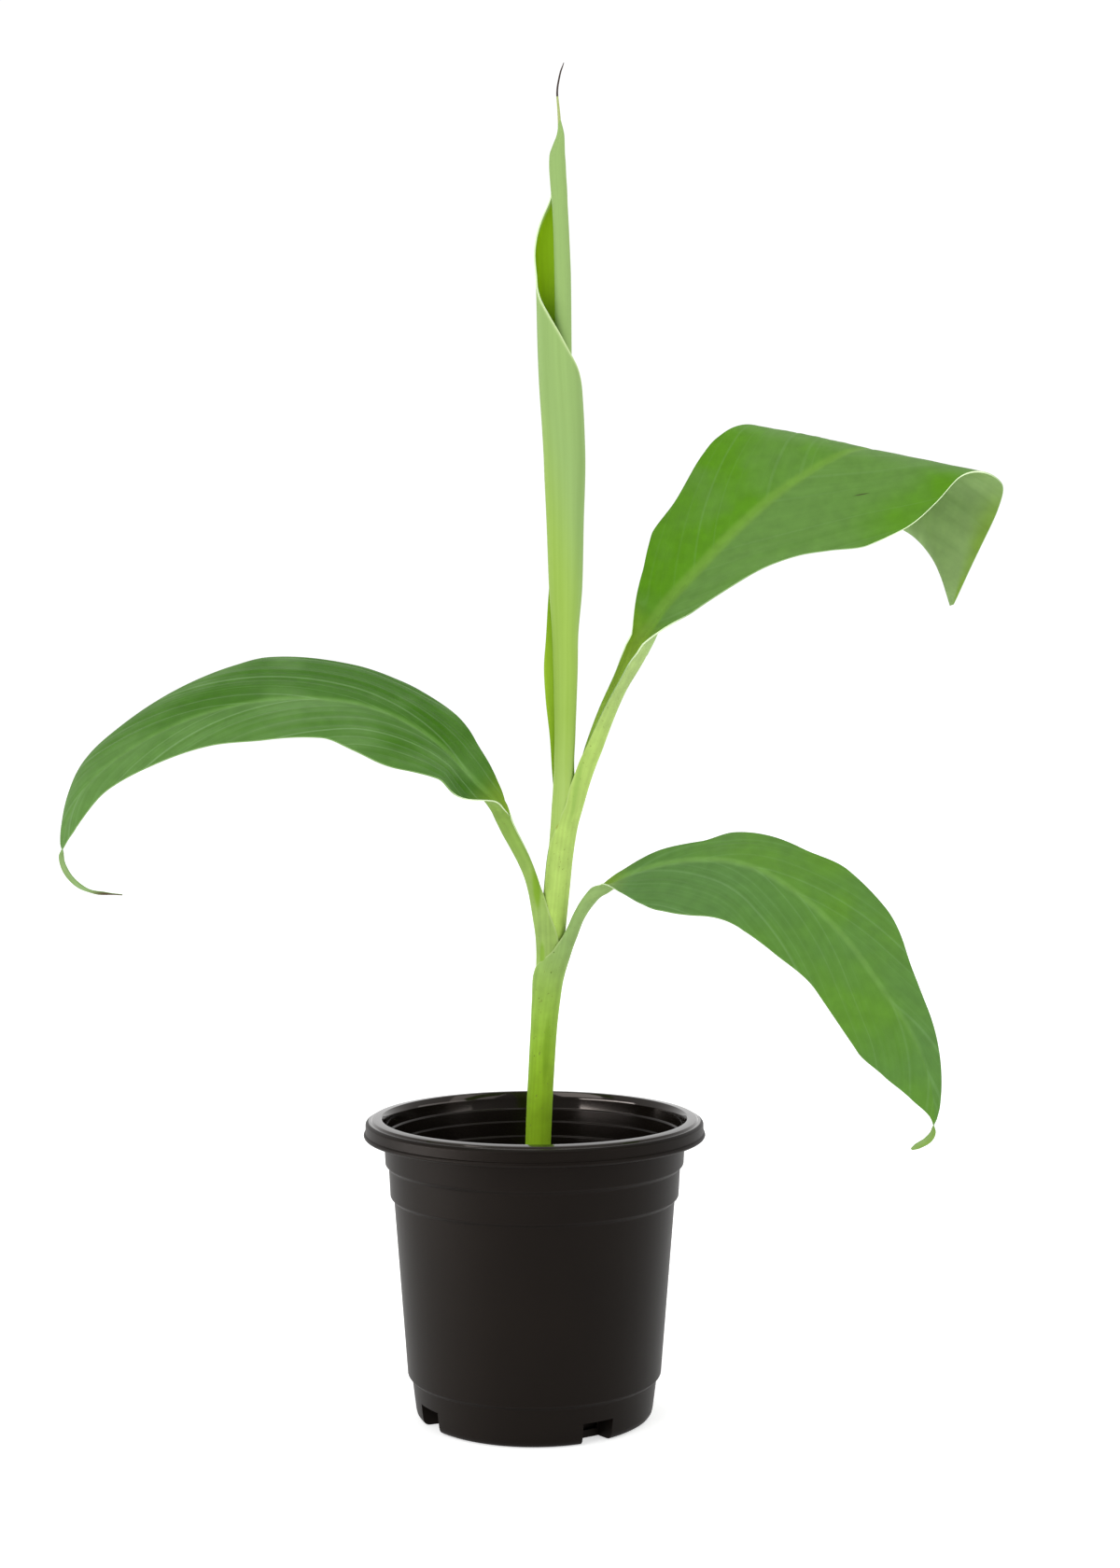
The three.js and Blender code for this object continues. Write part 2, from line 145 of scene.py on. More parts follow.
# a closed tube from rings of points (rings, around, 3): walls, and each end zipped across in quads
def tubeQuads(rings, around):
    index = np.arange(rings * around).reshape(rings, around)
    walls = gridQuads(np.concatenate([index, index[:, :1]], 1), turned=True)
    j = np.arange(around // 2 - 1)
    zipped = np.stack([around - 1 - j, around - 2 - j, j + 1, j], 1)
    return np.concatenate([walls, zipped, (rings - 1) * around + zipped[:, ::-1]])


# one shader node with its settings, and its inputs set to a value or linked from a socket
def addNode(tree, kind, inputs=None, **settings):
    node = tree.nodes.new("ShaderNode" + kind)
    for key, value in settings.items():
        setattr(node, key, value)
    for socket, value in (inputs or {}).items():
        if isinstance(value, bpy.types.NodeSocket):
            tree.links.new(value, node.inputs[socket])
        else:
            node.inputs[socket].default_value = value
    return node


# an empty material with one shader, whose steady values go straight on its sockets
def newMaterial(name, **steady):
    material = bpy.data.materials.new(name)
    material.use_nodes = True
    tree = material.node_tree
    tree.nodes.clear()
    named = {key.replace("_", " "): value for key, value in steady.items()}
    shader = addNode(tree, "BsdfPrincipled", named)
    addNode(tree, "OutputMaterial", {"Surface": shader.outputs["BSDF"]})
    return material, tree, shader


# Leaf skin: living banana leaf, smooth and waxy. The eye gets fine side veins as long faint streaks, a
# few of them pale, a paler midrib, and soft patches of fresh green in a greyer one.
# Real side veins are under a millimetre apart; the streaks are drawn coarser, as the eye sees them.
# the sheaths' lime green low down is brighter than their own colour: painted light against the shade
# inside the pot's rim
# the underside's fresh green is deeper than its own: partly painted shade, darkening the upper right
# leaf's underside towards its folded tip
leafSkin = {"vein": "#93b383", "under": ("#7f9c60", "#8aa76a"), "underFreshWithShade": "#789a3c",
            "underRib": "#93b56a", "channel": "#86a834", "sheathInside": "#a3c257",
            "sheathLowWithPaintedLight": "#9bc822", "seam": "#c4d892", "dried": "#4d3d2a", "speck": "#7d8a3c",
            "edgeGreen": "#6c9548", "edgePale": "#d8ebbe", "gloss": 0.12, "roughUpper": 0.45,
            "roughUnder": 0.55, "streakWidth": 6, "streakLength": 70, "lineLength": 160, "patch": 24,
            "mottle": 4, "speckSize": 0.9, "fleckCore": 0.4, "bump": 0.00004}


# streaks are noise stretched along the fibres; attributes laid on the sheet say where the midrib, the
# fresh patches, the stalk, its pale part, its seam and the dried tip are, and each mixes in its own
# colour, the underside's fresh green partly painted shade and the low stalk's partly painted light;
# soft mottling lies over it all, the stalk has a few specks, and a fleck fades out round its middle,
# one of them a stripe of painted shade
def leafMaterial(name, tones, rough, lineWidth, lineShow, flecksAndShade):
    material, tree, shader = newMaterial(name, Specular_IOR_Level=leafSkin["gloss"], Roughness=rough)
    fibres = addNode(tree, "UVMap", uv_map="fibres").outputs["UV"]
    noises = []
    for width, length, detail in ((leafSkin["streakWidth"], leafSkin["streakLength"], 3),
                                  (lineWidth, leafSkin["lineLength"], 1)):
        along = addNode(tree, "Mapping", {"Vector": fibres, "Scale": (1 / width, 1 / length, 1)})
        noises.append(addNode(tree, "TexNoise", {"Vector": along.outputs["Vector"], "Scale": 1,
                                                 "Detail": detail}).outputs["Fac"])
    place = addNode(tree, "TexCoord").outputs["Object"]
    patches, mottle, specks = (
        addNode(tree, "TexNoise", {"Vector": place, "Scale": 1 / (leafSkin[key] * mm),
                                   "Detail": 2}).outputs["Fac"]
        for key in ("patch", "mottle", "speckSize"))
    marks = {key: addNode(tree, "Attribute", attribute_name=key).outputs["Fac"]
             for key in ("rib", "fresh", "stalk", "pale", "near", "seam", "dried")}
    # each noise, the part of its range that counts, and what that part becomes
    ranges = {"streak": (noises[0], 0.3, 0.7, 0, 1), "line": (noises[1], 0.57, 0.72, 0, lineShow),
              "patch": (patches, 0.36, 0.64, 0.5, 1.35), "fibre": (noises[0], 0.25, 0.75, 0.87, 1.1),
              "mottle": (mottle, 0.3, 0.7, 0.925, 1.065), "speck": (specks, 0.68, 0.74, 0, 0.7)}
    mapped = {key: addNode(tree, "MapRange", {"Value": value, "From Min": low, "From Max": high,
                                              "To Min": first, "To Max": last}).outputs["Result"]
              for key, (value, low, high, first, last) in ranges.items()}
    freshness = addNode(tree, "Math", {0: mapped["patch"], 1: marks["fresh"]}, operation="MULTIPLY",
                        use_clamp=True).outputs["Value"]
    skin = hexColour(tones["greens"][0])
    for amount, colour in ((mapped["streak"], tones["greens"][1]), (freshness, tones["fresh"]),
                           (mapped["line"], leafSkin["vein"]), (marks["rib"], tones["rib"])):
        skin = addNode(tree, "Mix", {0: amount, 6: skin, 7: hexColour(colour)},
                       data_type="RGBA").outputs[2]
    stalk = hexColour(tones["stalk"][0])
    for mark, colour in zip(("pale", "near"), tones["stalk"][1:]):
        stalk = addNode(tree, "Mix", {0: marks[mark], 6: stalk, 7: hexColour(colour)},
                        data_type="RGBA").outputs[2]
    stalk = addNode(tree, "Mix", {0: 1.0, 6: stalk, 7: mapped["fibre"]}, data_type="RGBA",
                    blend_type="MULTIPLY").outputs[2]
    stalk = addNode(tree, "Mix", {0: mapped["speck"], 6: stalk, 7: hexColour(leafSkin["speck"])},
                    data_type="RGBA").outputs[2]
    skin = addNode(tree, "Mix", {0: marks["stalk"], 6: skin, 7: stalk}, data_type="RGBA").outputs[2]
    skin = addNode(tree, "Mix", {0: 1.0, 6: skin, 7: mapped["mottle"]}, data_type="RGBA",
                   blend_type="MULTIPLY").outputs[2]
    for key in ("seam", "dried"):
        skin = addNode(tree, "Mix", {0: marks[key], 6: skin, 7: hexColour(leafSkin[key])},
                       data_type="RGBA").outputs[2]
    # each mark fades out round its middle: bruises, soft patches and one stripe of painted shade
    for middle, size, colour, strength in flecksAndShade:
        shifted = addNode(tree, "VectorMath", {0: fibres, 1: (*middle, 0)}, operation="SUBTRACT")
        scaled = addNode(tree, "VectorMath", {0: shifted.outputs["Vector"], 1: (*size, 1)},
                         operation="DIVIDE")
        away = addNode(tree, "VectorMath", {0: scaled.outputs["Vector"]}, operation="LENGTH")
        fade = addNode(tree, "MapRange", {
            "Value": away.outputs["Value"], "From Min": leafSkin["fleckCore"], "From Max": 1,
            "To Min": strength, "To Max": 0}, interpolation_type="SMOOTHSTEP").outputs["Result"]
        skin = addNode(tree, "Mix", {0: fade, 6: skin, 7: hexColour(colour)},
                       data_type="RGBA").outputs[2]
    tree.links.new(skin, shader.inputs["Base Color"])
    bump = addNode(tree, "Bump", {"Height": noises[0], "Strength": 0.5, "Distance": leafSkin["bump"]})
    tree.links.new(bump.outputs["Normal"], shader.inputs["Normal"])
    return material


# leaf margins: pale and glassy at the base and over a fold, green elsewhere
def edgeMaterial():
    material, tree, shader = newMaterial("leafMarginSkin", Specular_IOR_Level=0.2, Roughness=0.5)
    bare = addNode(tree, "Attribute", attribute_name="bareEdge").outputs["Fac"]
    tint = addNode(tree, "Mix", {0: bare, 6: hexColour(leafSkin["edgeGreen"]),
                                 7: hexColour(leafSkin["edgePale"])}, data_type="RGBA")
    tree.links.new(tint.outputs[2], shader.inputs["Base Color"])
    return material


leafEdge = edgeMaterial()
print("leaf materials made")

# The open leaves. Each is one sheet from its sheath round the stem, up its channelled stalk and out
# over its blade.
# The blade is drawn flat along its rib, cupped at the rib, bent over, then set at the top of the stalk;
# its pairs are a share of its length and a value there.
#   base, heading, climb, bank   the blade's foot, and the turns that set it there
#   sway, roll   the sideways bow of the rib, and how far the section is turned about it
#   left, right, liftLeft, liftRight, curl   width of each half laid flat, how far it stands up at the
#            rib, and how far it turns from there to its margin; curlLeft where the left half differs
#   bends    distance along, slant to the rib, radius and turn of each bend
#   ribUnder how thick the rib is underneath
#   ribPath  the middle line of the sheath and stalk, up to the blade; in the last join of it the section
#            passes over to the blade's first
#   wide, curlUp, liftUp, under   by height on the stalk: half its width laid flat, how far each half
#            turns, how far it stands up at the rib, and how thick the rib is underneath
#   inward   by height: the way the channel opens
#   lean     how far the side veins of each half run forward for each step out from the rib
#   greens, freshGreen, midrib   the two greens of its upper face, and those of its fresh patches and
#            its midrib
#   stalkGreens   the greens of its sheath and of the top of its stalk
#   ribWide, ribShow   half the width of the midrib's band along the blade, and how much it shows
#   lines    how far apart the pale veins are and how much they show
#   fresh    how fresh the green of each half is along the blade, on the underside partly painted shade;
#             pale, how pale the stalk is by height
#   freshEdge  how far the fresh green of each half keeps to the outer part of it
#   bareEdge how pale the margin of each half is along the blade
#   pleat    height of the pleats along the veins and how far apart they leave the rib
#   seam     by height: how pale the sheath's margin is where it lies on the stem
#   driedFrom   the share of the blade where its dried tip starts; past 1 it has none
#   flecksAndShade   small bruises and soft patches on its upper and its under face, and one stripe of
#             painted shade: distance along and out from the rib, half sizes across and along the fibres,
#             colour and strength
#   nodes    the solids that it stands for
leaves = {
    "left_leaf": {
        "base": (-11.8, -4, 193), "heading": 189.2, "climb": 56.2, "bank": 2.1, "length": 194,
        "sway": [(0, 0), (1, 0)],
        "roll": [(0, -25), (0.12, -35), (0.855, -35), (0.885, 120), (1, 130)],
        "left": [(0, 5.2), (0.02, 9.3), (0.04, 12.5), (0.06, 15.4), (0.08, 18), (0.1, 19.8),
                 (0.15, 23.2), (0.22, 25.6), (0.29, 23.4), (0.35, 19.2), (0.45, 19), (0.55, 15.2),
                 (0.65, 12), (0.71, 9.6), (0.79, 7), (0.83, 4.4), (0.868, 0.8), (0.9, 1), (0.93, 0.9),
                 (0.95, 0.6), (0.965, 0.7), (0.985, 0.35), (1, 0.25)],
        "right": [(0, 3.6), (0.05, 8.8), (0.09, 12.6), (0.15, 20), (0.22, 25.4), (0.3, 27),
                  (0.42, 29.4), (0.47, 26.6), (0.56, 21.2), (0.66, 15.8), (0.71, 13.6), (0.78, 6.6),
                  (0.83, 2.4), (0.868, 0.8), (0.9, 1), (0.93, 0.9), (0.95, 0.6), (0.965, 0.7),
                  (0.985, 0.35), (1, 0.25)],
        "liftLeft": [(0, 8), (0.05, -10), (0.11, 8), (0.25, 4), (1, 4)],
        "liftRight": [(0, 20), (0.12, 12), (0.25, 4), (1, 4)],
        "curl": [(0, 45), (0.05, 20), (0.1, 0), (0.2, -18), (1, -20)],
        "bends": [(0, 90, 25, 10), (21, 90, 60, 35), (55, 90, 95, 56), (141, 90, 38, 45),
                  (168, 90, 13, 85)],
        "ribUnder": [(0, 2.5), (0.1, 2), (0.5, 1.2), (0.85, 0.5), (1, 0.3)],
        "ribPath": [(-2.6, -0.6, 74), (-1.2, -0.6, 105), (0.3, -0.7, 130), (0.9, -0.8, 140),
                    (1.1, -0.9, 147.3), (0.9, -1, 152), (0.5, -1.1, 156), (0, -1.2, 160.5),
                    (-0.8, -1.4, 166), (-2, -1.7, 171.1), (-3.8, -2.3, 175.8), (-6.1, -2.8, 180.6),
                    (-8.4, -3.2, 185.2), (-10.4, -3.7, 189.8)],
        "join": 7,
        "wide": [(74, 9.5), (120, 9.5), (140, 9.6), (150.3, 8.2), (153.5, 7.4), (158.6, 5.6),
                 (163.7, 4.2), (168, 3.1), (174, 2.7), (193, 2.8)],
        "curlUp": [(74, 165), (120, 155), (140, 128), (150.3, 108), (153.5, 100), (158.6, 84),
                   (163.7, 95), (168, 110), (193, 115)],
        "liftUp": [(74, 0), (150, 2), (158.6, 10), (163.7, 15), (170, 20), (193, 20)],
        "under": [(74, 0.4), (140, 0.5), (152, 0.7), (160, 1.1), (166, 1.3), (175, 1.7), (184, 2.1),
                  (193, 2.5)],
        "inward": [(74, 1, 0.19, 0), (160, 1, 0.19, 0), (175, 0.87, -0.05, 0.45),
                   (186, 0.84, -0.25, 0.48)],
        "lean": (5, 5), "ribShow": 0.38, "pleat": (0.2, 32),
        "ribWide": [(0, 1.6), (0.5, 1.1), (1, 0.6)],
        "flecksAndShade": ([], [(-29, 2.1, 6, 8, "#76a010", 0.75), (-49.4, 2.9, 6, 5, "#80aa2c", 0.7)]),
        "greens": ("#59813a", "#658e4a"), "freshGreen": "#3a6a0c", "midrib": "#79a753",
        "stalkGreens": ("#93b05c", "#84a54a"), "lines": (8, 0.3),
        "bareEdge": ([(-0.2, 0.3), (0, 1), (0.05, 1), (0.09, 0.1), (1, 0.1)],
                     [(-0.2, 0.3), (0, 1), (0.02, 1), (0.06, 0.1), (1, 0.1)]),
        "fresh": ([(0, 1), (0.15, 0.8), (0.35, 0.5), (0.6, 0.4), (0.8, 0.1), (1, 0)],
                  [(0, 1), (0.3, 1), (0.5, 0.8), (0.7, 0.3), (0.85, 0), (1, 0)]), "freshEdge": (0, 0),
        "pale": [(74, 0), (105, 0.1), (130, 0.5), (145, 0.95), (155, 1), (193, 1)],
        "seam": [(120, 0), (146, 0.5), (160, 0.5), (168, 0)], "driedFrom": 0.94,
        "nodes": ("stalk_left", "blade_left_inner", "blade_left_outer")},
    "lower_right_leaf": {
        "base": (22.5, -8, 167.5), "heading": -25.8, "climb": 35, "bank": -1.3, "length": 161,
        "sway": [(0, 0), (1, 0)],
        "roll": [(0, 5), (0.03, 22), (0.13, 42), (0.92, 42), (0.95, -110), (1, -120)],
        "left": [(0, 2.2), (0.1, 5.4), (0.2, 8.6), (0.25, 13.8), (0.31, 15.4), (0.37, 16.3),
                 (0.45, 19.8), (0.54, 19.3), (0.66, 13.3), (0.81, 6.1), (0.9, 2), (0.932, 0.6),
                 (0.96, 1.1), (0.985, 1), (1, 0.4)],
        "right": [(0, 3), (0.02, 5.4), (0.05, 9.8), (0.1, 16.8), (0.15, 21.2), (0.2, 22.2), (0.35, 21),
                  (0.48, 20.2), (0.6, 17.8), (0.74, 17.8), (0.82, 13.4), (0.88, 6.8), (0.932, 0.6),
                  (0.96, 1.1), (0.985, 1), (1, 0.4)],
        "liftLeft": [(0, 20), (0.12, 10), (0.25, -6), (1, -8)],
        "liftRight": [(0, 0), (0.05, -4), (0.12, 2), (0.25, -6), (1, -8)],
        "curl": [(0, 60), (0.02, 25), (0.05, 5), (0.12, 0), (1, 0)],
        "bends": [(0, 90, 30, 10), (5, 90, 77, 40), (39, 90, 89, 38), (117, 90, 50, 42),
                  (150, 90, 7, 55)],
        "ribUnder": [(0, 1.9), (0.1, 1.6), (0.5, 1), (0.85, 0.5), (1, 0.3)],
        "ribPath": [(4.05, -1.7, 74), (5.4, -1.7, 105), (7.35, -1.8, 130), (8.5, -1.9, 137.7),
                    (10.7, -2.2, 145.6), (12.6, -3, 151.7), (14.6, -4.2, 158), (17.5, -5.8, 163),
                    (20.2, -7.1, 166.1)],
        "join": 5,
        "wide": [(74, 10.5), (120, 11), (136, 12.2), (139, 11.4), (142, 8.8), (145, 6.6), (148, 5.2),
                 (151, 3.8), (156, 2.6), (160, 2.3), (168, 2.3)],
        "curlUp": [(74, 160), (130, 158), (136, 150), (139, 138), (142, 105), (145, 78), (148, 70),
                   (151, 76), (156, 105), (160, 115), (168, 115)],
        "liftUp": [(74, 0), (145, 2), (150, 10), (156, 20), (168, 20)],
        "under": [(74, 0.3), (138, 0.4), (146, 0.6), (152, 1), (158, 1.4), (163, 1.7), (168, 1.9)],
        "inward": [(74, -0.9, 0.45, 0), (148, -0.9, 0.45, 0), (158, -0.7, 0.3, 0.6)],
        "lean": (3, 3.8), "ribShow": 0.45, "pleat": (0.08, 20),
        "ribWide": [(0, 1.5), (0.5, 1.1), (1, 0.6)],
        "flecksAndShade": ([], [(-26.3, -5.6, 1.2, 0.3, "#4d5a1c", 0.8),
                        (-32.7, -4.7, 1.2, 0.35, "#4d5a1c", 0.8), (-41, -7, 1.1, 0.35, "#5c6a22", 0.7),
                        (-53.5, -7.4, 1.1, 0.3, "#5c6a22", 0.7), (-59, -6.8, 1.2, 0.4, "#5c6a22", 0.7),
                        (-57, -3.1, 8, 14, "#769f1c", 0.5)]),
        "greens": ("#4f7637", "#598243"), "freshGreen": "#598826", "midrib": "#7aa553",
        "stalkGreens": ("#92b064", "#8fae68"), "lines": (6, 0.12),
        "bareEdge": ([(-0.1, 0.3), (0, 1), (0.01, 1), (0.03, 0.1), (1, 0.1)],
                     [(-0.04, 0.2), (0, 0.8), (0.03, 0.8), (0.05, 0.1), (1, 0.1)]),
        "fresh": ([(0, 0.2), (0.2, 0.6), (0.5, 0.8), (0.8, 0.3), (1, 0.3)],
                  [(0, 0), (0.3, 0.15), (0.48, 0.5), (0.8, 0.65), (1, 0.5)]), "freshEdge": (0, 0),
        "pale": [(74, 0), (105, 0.1), (130, 0.5), (145, 0.9), (152, 1), (168, 1)],
        "seam": [(120, 0), (138, 0.5), (148, 0.4), (153, 0)], "driedFrom": 1.01,
        "nodes": ("stalk_lower_right", "blade_lower_right_inner", "blade_lower_right_outer")},
    "upper_right_leaf": {
        "base": (33.2, 2, 244.2), "heading": 5.9, "climb": 38.4, "bank": 54, "length": 164.5,
        "sway": [(0, 0), (0.05, 3), (0.1, 5.8), (0.2, 8.8), (0.3, 11.5), (0.4, 12.7), (0.5, 11.3),
                 (0.6, 7.8), (0.7, 5.4), (0.84, 1.2), (0.92, 0), (1, 0)],
        "roll": [(0, 0), (1, 0)],
        "left": [(0, 4.2), (0.05, 9.1), (0.1, 13.4), (0.15, 19), (0.18, 21.8), (0.25, 23.7),
                 (0.36, 30.2), (0.41, 32.2), (0.5, 32.6), (0.6, 30.6), (0.66, 28), (0.7, 25.5),
                 (0.76, 19), (0.8, 13), (0.84, 7.2), (0.87, 4.6), (0.91, 2.4), (0.95, 1.1), (1, 0.5)],
        "right": [(0, 4.8), (0.04, 7.7), (0.1, 11.2), (0.23, 16.9), (0.3, 20.6), (0.35, 24.2),
                  (0.4, 29.6), (0.46, 36.4), (0.53, 38.2), (0.61, 35.2), (0.69, 31.2), (0.79, 29.4),
                  (0.84, 23.4), (0.91, 12.8), (1, 0.6)],
        "liftLeft": [(0, 20), (0.15, 8), (0.5, 0), (1, 0)],
        "liftRight": [(0, 20), (0.1, 18), (0.25, 10), (0.42, 0), (1, 0)],
        "curl": [(0, 60), (0.05, 30), (0.12, 0), (1, 0)],
        "curlLeft": [(0, 60), (0.05, 30), (0.12, 0), (0.5, 0), (0.66, 20), (0.7, 35),
                     (0.76, 55), (1, 60)],
        "bends": [(83, 60.5, 10, 157)],
        "ribUnder": [(0, 5.2), (0.03, 4.6), (0.06, 3.4), (0.1, 2.2), (0.4, 1.2), (0.6, 0.9),
                     (0.85, 0.5), (1, 0.4)],
        "ribPath": [(3.6, 0.2, 96), (6.7, 0.3, 130), (9, 0.3, 148), (10.2, 0.4, 160),
                    (11.05, 0.8, 168.4), (11.7, 1.1, 175.4), (12.4, 1.3, 181.2), (13.4, 1.4, 187.2),
                    (14.8, 1.5, 192.6), (16.4, 1.6, 198.9), (18.1, 1.7, 205.5), (20.3, 1.8, 212.3),
                    (24.8, 1.9, 224.4), (30.2, 2, 236.4), (31.9, 2, 240.6)],
        "join": 15,
        "wide": [(96, 8), (150, 10.4), (170, 11), (180, 10), (185, 8.6), (191, 7.4), (199, 6.4),
                 (205, 5.5), (212, 4.9), (221, 4.5), (230, 4.1), (239, 4), (245, 4.4)],
        "curlUp": [(96, 165), (170, 160), (182, 138), (187, 122), (191, 105), (199, 88), (205, 82),
                   (212, 78), (221, 72), (230, 68), (239, 62), (245, 58)],
        "liftUp": [(96, 0), (191, 2), (199, 8), (208, 13), (216, 14), (245, 16)],
        "under": [(96, 0.3), (170, 0.4), (187, 0.6), (199, 0.9), (206, 1.4), (213, 1.8), (230, 1.9),
                  (239, 3.2), (245, 5.2)],
        "inward": [(96, -1, -0.09, 0), (190, -1, -0.05, 0), (198, -1, 0.1, 0.1),
                   (205, -0.97, 0.08, 0.25), (212, -0.92, -0.1, 0.36), (224, -0.88, -0.3, 0.34),
                   (236, -0.78, -0.53, 0.33)],
        "lean": (1, 1.2), "ribShow": 0.9, "pleat": (0.05, 12),
        "ribWide": [(0, 2.5), (0.3, 2.1), (0.5, 1.6), (1, 0.7)],
        # the second mark under is painted shade: a darker stripe along the stalk just behind its near
        # margin, where the sheath is hollowed
        "flecksAndShade": ([(86.4, -18.5, 0.8, 1.3, "#3f4423", 0.95)],
                   [(-61.5, -8.4, 3.6, 2.2, "#8a8f30", 0.75), (-50, -4.6, 6, 14, "#8ab04e", 0.5)]),
        "greens": ("#588036", "#5f873d"), "freshGreen": "#51860a", "midrib": "#6c9636",
        "stalkGreens": ("#abc866", "#a0ba70"), "lines": (3.4, 0.09),
        "bareEdge": ([(-0.2, 0.2), (-0.06, 0.3), (0, 1), (0.03, 0.6), (0.08, 0.1), (1, 0.1)],
                     [(-0.2, 0.2), (-0.06, 0.4), (0, 1), (0.06, 1), (0.12, 0.2), (0.42, 0.2), (0.5, 1),
                      (0.72, 1), (0.8, 0.3), (1, 0.3)]),
        # towards the tip of the right half, the fresh green on the underside is partly painted shade of
        # the fold
        "fresh": ([(0, 1), (0.3, 0.9), (0.5, 0.5), (0.7, 0.1), (1, 0)],
                  [(0, 0.5), (0.15, 0.1), (0.4, 0.1), (0.55, 0.9), (0.65, 0.9), (0.78, 0.1),
                   (0.86, 0.7), (1, 1)]),
        "freshEdge": (0, 0.9),
        "pale": [(96, 0), (130, 0.4), (150, 0.8), (175, 1), (205, 1), (245, 0.95)],
        "seam": [(165, 0), (182, 0.35), (198, 0.3), (208, 0)], "driedFrom": 1.01,
        "nodes": ("stalk_upper_right", "blade_upper_right_inner", "blade_upper_right_outer")},
}

# What the open leaves share. Unfold, stalkSkin and nearBlade are distances from the blade's foot: there
# the stalk opens into the blade, its skin gives way, and it greens towards the blade. The stalk's path
# runs on into the blade by two steps of lead. The pleats grow from the rib and from the margin, and the
# thickness grows with the width up to fullWide.
leafGrid = {"stalkRows": 130, "bladeRows": 270, "halfColumns": 40, "lead": 0.004, "edge": 0.5,
            "tipThin": 0.35, "fullWide": 6, "ribWide": 1.9, "groove": 0.25, "grooveWide": 1.2,
            "veinSweep": 0.02, "stalkFibre": 5, "seamWide": 0.4, "unfold": (-6, 14),
            "stalkSkin": (-5, 12), "nearBlade": (-40, -8), "driedOver": 0.035, "pleatFromRib": (2, 9),
            "pleatFromEdge": (0, 7), "wander": (1.3, 0.37), "quicker": (0.5, 2.3, 1.7),
            "freshOuter": (0.5, 0.95),
            "ribFade": [(-0.5, 1), (0, 1), (0.6, 0.7), (0.9, 0)]}


# a half-blade's section is an arc from the rib to the edge: half its turn at a share across bends the
# chord up from the lift, and the height is laid off square to the arc
def leafSection(across, wideLeft, wideRight, liftLeft, liftRight, curlLeft, curlRight, height):
    side = np.where(across < 0, -1, 1)
    wide = np.where(across < 0, wideRight, wideLeft) * np.abs(across)
    lift = np.radians(np.where(across < 0, liftRight, liftLeft))
    halfTurn = np.radians(np.where(across < 0, curlRight, curlLeft)) * np.abs(across) / 2
    chord = wide * np.sinc(halfTurn / np.pi)
    facing = np.where(across == 0, 0, lift + 2 * halfTurn)
    out = side * (chord * np.cos(lift + halfTurn) - height * np.sin(facing))
    up = chord * np.sin(lift + halfTurn) + height * np.cos(facing)
    return out, up


# bend points down over an axis at a slant to the rib: straight up to it, round its radius, straight on
def bendOver(x, y, z, at, slant, radius, turn):
    cos, sin = math.cos(math.radians(slant)), math.sin(math.radians(slant))
    along, reach = x * cos - y * sin, x * sin + y * cos
    angle = np.clip((reach - at) / radius, 0, math.radians(turn))
    rest = reach - at - radius * angle
    bent = at + (radius + z) * np.sin(angle) + rest * np.cos(angle)
    z = (radius + z) * np.cos(angle) - radius - rest * np.sin(angle)
    return along * cos + bent * sin, -along * sin + bent * cos, z


# turn (x, y, z) by a leaf's bank, climb and heading, in that order
def turnLeaf(leaf, x, y, z):
    bank, climb, heading = (math.radians(leaf[key]) for key in ("bank", "climb", "heading"))
    y, z = y * math.cos(bank) - z * math.sin(bank), y * math.sin(bank) + z * math.cos(bank)
    x, z = x * math.cos(climb) - z * math.sin(climb), x * math.sin(climb) + z * math.cos(climb)
    x, y = x * math.cos(heading) - y * math.sin(heading), x * math.sin(heading) + y * math.cos(heading)
    return np.stack([x, y, z], -1)


# the six numbers of a blade's section at a share of its length; a leaf may curl its left half apart
def bladeSection(leaf, share):
    curlLeft = leaf.get("curlLeft", leaf["curl"])
    pairs = [leaf["left"], leaf["right"], leaf["liftLeft"], leaf["liftRight"], curlLeft, leaf["curl"]]
    return [keyed(each, share) for each in pairs]


# blade points at shares along and across: the section is rolled about the rib, moved along it with the
# rib's sideways bow, bent over from the last bend to the first, then set at the stalk's top
def bladePoints(leaf, share, across, height):
    out, up = leafSection(across, *bladeSection(leaf, share), height)
    roll = np.radians(keyed(leaf["roll"], share))
    out, up = out * np.cos(roll) - up * np.sin(roll), out * np.sin(roll) + up * np.cos(roll)
    x = share * leaf["length"] + 0 * out
    y = out + keyed(leaf["sway"], share)
    z = up
    for bend in reversed(leaf["bends"]):
        x, y, z = bendOver(x, y, z, *bend)
    return turnLeaf(leaf, x, y, z) + np.array(leaf["base"], float)


